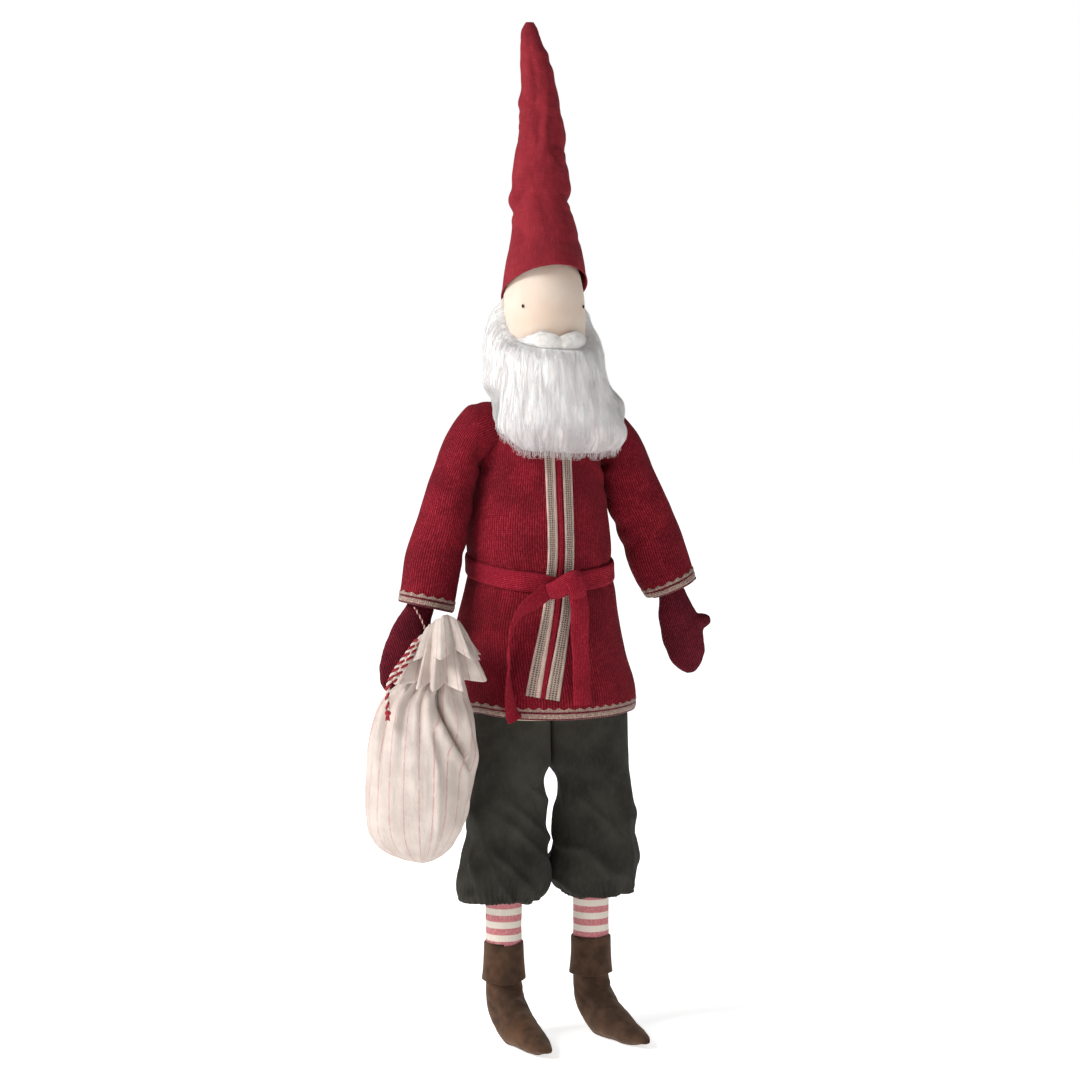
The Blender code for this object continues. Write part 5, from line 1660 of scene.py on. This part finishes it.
def make_boot_cuff(side, sign):
    """The boot's folded top."""
    low, high = box_mm(f"boot_cuff_{side}")
    middle = (low + high) / 2
    turn = TAU * np.arange(96) / 96
    wave = 0.5 * np.sin(2 * turn + sign) + 0.4 * np.sin(3 * turn + 2)
    flap = 0.9 * hump(0.8 * math.pi + 0.5 * sign, 0.35, turn)
    top = high[2] - CUFF_DROP
    rows = ((top - 9.0, 13.5), (top - 3.0, 13.5), (top + 0.1, 13.6), (top + 0.6, 13.9),
            (top + 0.4, 14.3), (top - 0.8, 14.6), (top - 6, 14.7), (top - 12, 14.9), (top - 18, 15.2),
            (top - 23, 15.6), (low[2] + 1.2, 16.0), (low[2] + 0.2, 16.1), (low[2] - 0.3, 15.7),
            (low[2] + 0.1, 15.1), (low[2] + 4, 14.6), (low[2] + 12, 14.2))
    grid = np.array([[(middle[0] - (r + f) * math.sin(t), middle[1] + (r + f) * math.cos(t), z + w)
                      for t, w, f in zip(turn, wave, flap * ease(high[2] - 8, low[2], z))] for z, r in rows])
    grid = pushed(grid, 0.4 * grain(grid, 12, 84 + sign))
    dressed(f"boot_top_{side}", grid, "brown_suede", f"leg_{side}", f"boot_cuff_{side}", subdivide=1)


make_seat()
for leg_side, leg_sign in (("left", 1), ("right", -1)):
    make_trouser(leg_side, leg_sign)
    make_stocking(leg_side)
    make_boot_sole(leg_side, make_boot(leg_side, leg_sign))
    make_boot_cuff(leg_side, leg_sign)


# ================================ sack ========================================================
VIEW = np.array((-math.sin(math.radians(20)), -math.cos(math.radians(20)), 0))   # the sack's front
VIEW_SIDE = np.cross(VIEW, -UP)            # its left-to-right, as seen from in front
SACK_X, SACK_Y = -99.0, -30.0
# height, reach to its left and right as seen from in front, half depth
SACK_FORM = (
    (-157.0, 8.0, 8.5, 8.5), (-166.0, 9.0, 8.5, 8.0), (-178.0, 10.5, 9.5, 8.5), (-186.0, 12.5, 12.5, 9.5),
    (-196.0, 18.5, 20.5, 13.0), (-205.0, 25.0, 27.0, 17.0), (-214.0, 29.5, 32.0, 20.5),
    (-226.0, 33.5, 35.0, 23.5), (-242.0, 36.3, 36.5, 26.0), (-258.0, 38.3, 36.0, 27.5),
    (-274.0, 40.0, 35.0, 28.0), (-290.0, 40.6, 32.6, 27.0), (-303.0, 39.4, 28.0, 24.0),
    (-312.0, 33.6, 22.0, 19.5), (-319.0, 23.5, 15.0, 14.0), (-323.6, 12.0, 8.0, 8.0),
    (-325.6, 3.0, 2.5, 2.5),
)
NECK_SHIFT = 13.0                          # the neck stands right of the body's middle


# the long folds: bearing, its change with height, width, height, and the levels of top and foot
SACK_FOLDS = (
    (-8, 0.05, 6, 1.3, -205, -262), (-30, -0.04, 7, 1.5, -205, -275), (-55, -0.10, 8, 1.7, -208, -285),
    (-82, -0.12, 9, 1.5, -210, -290), (60, 0.10, 8, 2.2, -208, -300), (88, 0.10, 9, 1.8, -205, -290),
    (125, 0.0, 10, 1.8, -205, -280), (160, 0.0, 9, 2.0, -205, -280), (-120, 0.0, 10, 1.9, -205, -285),
    (-155, 0.0, 10, 1.7, -205, -280),
)


def sack_grid():
    """The sack's rings before its folds, and the bearing of their points."""
    cols = 216
    z, left, right, depth = (np.array(v) for v in zip(*SACK_FORM))
    run = np.concatenate(([0], np.cumsum(np.hypot(np.diff(z), np.diff(left)))))
    at = np.linspace(0, run[-1], 116)
    height = np.interp(at, run, z)
    left, right, depth = (np.interp(at, run, v) for v in (left, right, depth))
    left, right, depth = (blurred(v[:, None], 2.0, 0)[:, 0] for v in (left, right, depth))
    # the angle runs round from behind by the sack's left, as seen from in front
    turn = TAU * np.arange(cols) / cols
    side, front = -np.sin(turn), -np.cos(turn)
    shift = NECK_SHIFT * ease(-215, -172, height)
    reach = np.where(side[None] < 0, left[:, None], right[:, None])
    grid = (np.array((SACK_X, SACK_Y, 0))[None, None] + VIEW_SIDE * (reach * side[None])[..., None]
            + VIEW_SIDE * shift[:, None, None] + VIEW * (depth[:, None] * front[None])[..., None])
    grid[..., 2] = height[:, None]
    return grid, turn


def make_sack():
    """The filled sack with its folds, and the wadding in it."""
    grid, turn = sack_grid()
    b = np.degrees(turn)[None] - 180       # 0 in front, positive to the right as seen from there
    z = grid[..., 2]
    # the cloth folds back on itself beside its front panel, from the neck to the foot
    valley = np.interp(z, (-285, -262, -240, -222, -203), (84, 74, 46, 28, 20))
    deep = np.interp(z, (-300, -285, -262, -240, -220, -203, -190), (0.0, 1.4, 4.0, 6.4, 7.2, 6.0, 2.0))
    crease = np.interp(z, (-316, -300, -257, -221, -203), (22, 23, 19, 8, 3))
    amount = -1.3 * deep * hump(valley, 6.5, b) + 0.4 * deep * hump(valley - 13, 7.0, b)
    pressed = ease(-322, -308, z) * ease(-196, -212, z)
    amount += (1.5 * hump(crease, 3.6, b) - 1.3 * hump(crease + 6.5, 4.5, b)) * pressed
    amount += 2.0 * hump(valley + 26, 11, b) * ease(-300, -240, z)
    for middle, lean, width, height, top, foot in SACK_FOLDS:
        line = middle + lean * (z + 250)
        fade = ease(foot, top - 12, z)
        raised = hump(line, 0.8 * width, b) - 0.9 * hump(line + 1.2 * width, 0.55 * width, b)
        amount += 1.35 * height * fade * raised
    pleat = np.cos(np.radians(b) * 15 + 1.8 * np.sin(np.radians(b) * 2.0 + 0.6) + 0.02 * z)
    amount += 1.5 * pleat * hump(-193, 16, z) + 0.9 * pleat * ease(-186, -172, z)
    pull = grain(grid * (1, 1, 0.5), 24, 91)
    amount += 1.5 * pull * ease(-200, -230, z) + 0.5 * grain(grid * (1, 1, 0.6), 8, 92)
    creased = np.clip(1 - 2.6 * np.abs(grain(grid * (1, 1, 0.45), 22, 93)), 0, 1) ** 2
    amount += 1.1 * creased * ease(-210, -245, z)
    foot = hump(-318, 9, z)
    amount += 1.0 * foot * np.cos(np.radians(b) * 11 + 2 * np.sin(np.radians(b) * 3))
    small = np.interp(z, (-326, -318, -300, -200, -180), (0.1, 0.6, 1, 1, 0.7))
    grid = pushed(grid, blurred(amount * small, 1.0, 0.8))
    # the front panel's edge stands over the fold
    tangent = unit(np.roll(grid, -1, axis=1) - np.roll(grid, 1, axis=1))
    grid = grid + tangent * (deep * 0.9 * hump(valley - 8, 8, b))[..., None]
    uv = run_lengths(grid)
    # stripes run with the threads, and close up where the cloth is gathered
    widest = uv[..., 0].max()
    share = np.concatenate((turn, [TAU])) / TAU
    uv[..., 0] = widest * share
    piece = sheet_piece("sack_body", grid, finishes["sack_cotton"], uv=uv, caps=(False, True))
    settle_sack(piece)
    belongs(piece, "sack", "sack_cotton", "sack")
    within = grid[grid[:, 0, 2] < box_mm("sack_filling")[1][2] - 6]
    within = narrowed(within, 0.5)
    within[..., 2] += 6 * ease(-290, -326, within[..., 2])
    dressed("sack_wool", within, "stuffing", "sack", "sack_filling", caps=(True, True))


def settle_sack(piece):
    """The filled cloth pressed out from within and drawn in at its folds."""
    points = points_of(piece)
    pin = ease(-205, -188, points[:, 2])
    inflated(piece, 16, 1.2, 2.2, pin=pin, stiffness=12.0)


FRILL_THICK = 0.9


def frill_layer(name, span, turned, edge, crown, pleats, seed, lift=0.0):
    """A layer of the gathered mouth: up out of the neck, over and down to a pleated edge.

    span is the part of the turn that it covers, from-to in degrees seen from in front; turned is
    how far its edge stands from the neck; edge and crown are its heights, for a bearing each."""
    rows, cols = 44, 260
    b = np.linspace(*span, cols)
    neck = np.array((SACK_X, SACK_Y, 0)) + VIEW_SIDE * NECK_SHIFT
    t = np.linspace(0, 1, rows)[:, None]
    out_way = (VIEW_SIDE[None] * np.sin(np.radians(b))[:, None] + VIEW[None] * np.cos(np.radians(b))[:, None])
    far, low, high = (np.interp(b, *zip(*v))[None] for v in (turned, edge, crown))
    phase = (np.radians(b)[None] * pleats + 1.1 * np.sin(np.radians(b)[None] * 2.3 + seed)
             + 0.6 * np.sin(np.radians(b)[None] * 5.1 + 2 * seed))
    fold = blurred(2 / math.pi * np.arcsin(np.cos(phase)), 0, 1.2, closed=False)
    sharp = t ** 1.25
    radius = 8.0 + (far - 8.0) * ease(0.16, 1.0, t) ** 0.8
    radius = radius * (1 + 0.17 * fold * sharp) + 2.6 * fold * sharp + 1.2 * fold * hump(0.25, 0.25, t)
    start = -176.0 + lift
    rise = start + (high - start) * np.sin(np.clip(t / 0.42, 0, 1) * math.pi / 2)
    z = rise + (low - high) * ease(0.30, 1.05, t) - 2.9 * fold * sharp
    hem_step = 0.45 * ease(0.915, 0.93, t)
    jut = hem_step + np.cos(np.radians(b)[None] * pleats * 0.5 + seed) * 1.6 * sharp
    grid = neck[None, None] + out_way[None] * (radius + jut)[..., None]
    grid[..., 2] = z
    grid = pushed(grid, 0.35 * grain(grid, 7, 95 + seed), closed=False)
    uv = run_lengths(grid, closed=False)
    uv[..., 0] = uv[-1:, :, 0] * 0.8
    grid = np.concatenate((grid, grid[-1:] - (grid[-1:] - grid[-2:-1]) * 0.02 - out_way[None] * 0.5))
    uv = np.concatenate((uv, uv[-1:]))
    return dressed(name, grid, "sack_cotton", "sack", closed=False, uv=uv, thick=FRILL_THICK), grid


def make_frill():
    """The two layers of the sack's gathered mouth."""
    lower, grid = frill_layer(
        "frill_lower", (-179, 179),
        ((-180, 19), (-100, 25), (-60, 29), (-20, 25), (20, 25), (60, 28), (80, 30), (100, 24), (130, 21),
         (180, 19)),
        ((-180, -176), (-90, -189), (-50, -197), (0, -199), (40, -199), (62, -194), (80, -185), (100, -178),
         (130, -172), (180, -176)),
        ((-180, -158), (-90, -163), (-30, -160), (20, -157), (70, -160), (120, -158), (180, -158)), 11.0, 1)
    upper, grid = frill_layer(
        "frill_upper", (-75, 112),
        ((-75, 12), (-50, 19), (-20, 23), (10, 24), (40, 25), (65, 25), (90, 23), (112, 10)),
        ((-75, -166), (-45, -178), (-10, -177), (30, -175), (60, -179), (88, -178), (112, -166)),
        ((-75, -160), (-30, -154), (10, -147.5), (45, -149), (80, -153), (112, -157)), 9.0, 4, lift=2.0)


# ================================ cords =======================================================
def rope_mesh(name, path, diameter, pitch):
    """Two twisted strands, one white and one red, round a route."""
    way = unit(np.gradient(path, axis=0))
    sides_way = steady_sides(way)
    other = np.cross(way, sides_way)
    run = np.concatenate(([0], np.cumsum(np.linalg.norm(np.diff(path, axis=0), axis=1))))
    parts = []
    for k in range(2):
        turn = TAU * run / pitch + math.pi * k
        strand = path + diameter / 4 * (np.cos(turn)[:, None] * sides_way + np.sin(turn)[:, None] * other)
        parts.append(tube_grid(strand, diameter * 0.27, 10))
    points, faces, finish = [], [], []
    for k, grid in enumerate(parts):
        rows, cols = grid.shape[:2]
        start = k * rows * cols
        points.append(grid.reshape(-1, 3))
        faces += ring_faces(rows, cols, start)
        for row, order in ((0, 1), (rows - 1, -1)):
            faces.append(tuple(start + row * cols + j for j in range(cols))[::order])
        finish += [k] * ((rows - 1) * cols + 2)
    mesh = mesh_of(name, np.vstack(points), faces)
    piece = new_object(name, mesh, [finishes["cord_white"], finishes["cord_red"]])
    mesh.polygons.foreach_set("material_index", finish)
    return piece


# the strands' routes out of the frill, their far ends last
LONG_STRAND = ((-106.6, -42.8, -166.0), (-112.4, -45.0, -172.6), (-119.4, -46.4, -181.2),
               (-125.6, -47.0, -189.2), (-128.8, -46.8, -197.4), (-129.6, -46.8, -205.6),
               (-129.2, -47.0, -213.6))
SHORT_STRAND = ((-103.6, -40.6, -168.6), (-109.0, -42.4, -175.2), (-115.6, -43.2, -183.6),
                (-121.8, -43.8, -191.4), (-124.0, -44.0, -195.4))
HANGING = ((-98.2, -9.8, -146.2), (-96.6, -10.8, -149.6), (-94.4, -11.6, -153.6), (-92.2, -12.2, -159.0),
           (-90.2, -12.6, -165.5), (-88.8, -13.2, -173.0))
STRING_DIAMETER, STRING_PITCH = 1.6, 4.0
CORD_DIAMETER, CORD_PITCH = 3.3, 6.5


def make_cord(name, node, points):
    """One strand of the drawstring."""
    count = 120
    path = joined(points, count)
    piece = rope_mesh(name, path, CORD_DIAMETER, CORD_PITCH)
    belongs(piece, "sack", "twisted_cord", node)


def make_cords():
    """The drawstring's strands, the hanging string and its loop round the wrist."""
    make_cord("cord_long", "drawstring_long", LONG_STRAND)
    make_cord("cord_short", "drawstring_short", SHORT_STRAND)
    string = rope_mesh("string", joined(HANGING, 80), STRING_DIAMETER, STRING_PITCH)
    belongs(string, "sack", "twisted_cord", "hanging_string")
    low, high = box_mm("wrist_loop")
    middle, half = (low + high) / 2, (high - low) / 2 - STRING_DIAMETER / 2
    turn = np.linspace(0, TAU, 140)
    ring = np.stack((middle[0] + half[0] * np.cos(turn), middle[1] + half[1] * np.sin(turn),
                     middle[2] - half[2] * np.cos(turn)), axis=1)
    loop = rope_mesh("wrist_string", ring, STRING_DIAMETER, STRING_PITCH)
    belongs(loop, "arm_right", "twisted_cord", "wrist_loop")


def make_tassel():
    """A knot of yarn with a few cut ends."""
    low, high = box_mm("drawstring_tassel")
    top = np.array(((low[0] + high[0]) / 2, (low[1] + high[1]) / 2, high[2] - 1.6))
    bm = bmesh.new()
    bmesh.ops.create_uvsphere(bm, u_segments=20, v_segments=14, radius=1.0)
    for v in bm.verts:
        v.co = Vector(top * MM) + Vector((v.co.x * 2.3, v.co.y * 2.2, v.co.z * 1.9)) * MM
    knot = baked("tassel", bm)
    points = [np.array([tuple(v.co / MM) for v in knot.vertices])]
    faces = [tuple(f.vertices) for f in knot.polygons]
    start = len(points[0])
    rng = np.random.default_rng(5)
    for k in range(14):
        way = np.array((math.cos(k * 2.4), math.sin(k * 2.4), 0)) * (0.5 + 0.5 * ((k * 7) % 5) / 5)
        tip = top + way * 1.9 + (0, 0, -4.6 - 0.9 * rng.uniform())
        path = joined([top + way * 0.5, top + way * 1.4 + (0, 0, -2.2), tip], 8)
        grid = tube_grid(path, np.linspace(0.42, 0.34, 8), 6)
        points.append(grid.reshape(-1, 3))
        faces += ring_faces(8, 6, start)
        faces.append(tuple(start + 42 + j for j in range(6))[::-1])
        start += 48
    bpy.data.meshes.remove(knot)
    mesh = mesh_of("tassel", np.vstack(points), faces)
    belongs(new_object("tassel", mesh, finishes["red_yarn"]), "sack", "red_yarn", "drawstring_tassel")


make_sack()
make_frill()
make_tassel()
make_cords()


# ================================ pieces inside, and the end ==================================
def finish_inner_pieces():
    """The frame's own solids that stay as they are, such as stuffed inner pieces."""
    for name, node in frame["nodes"].items():
        if not node.hide_render:
            slot = next(s["material_slot"] for s in frame["record"]["subparts"] if s["node"] == name)
            node.data.materials.clear()
            node.data.materials.append(finishes.get(slot, finishes["body_linen"]))


finish_inner_pieces()
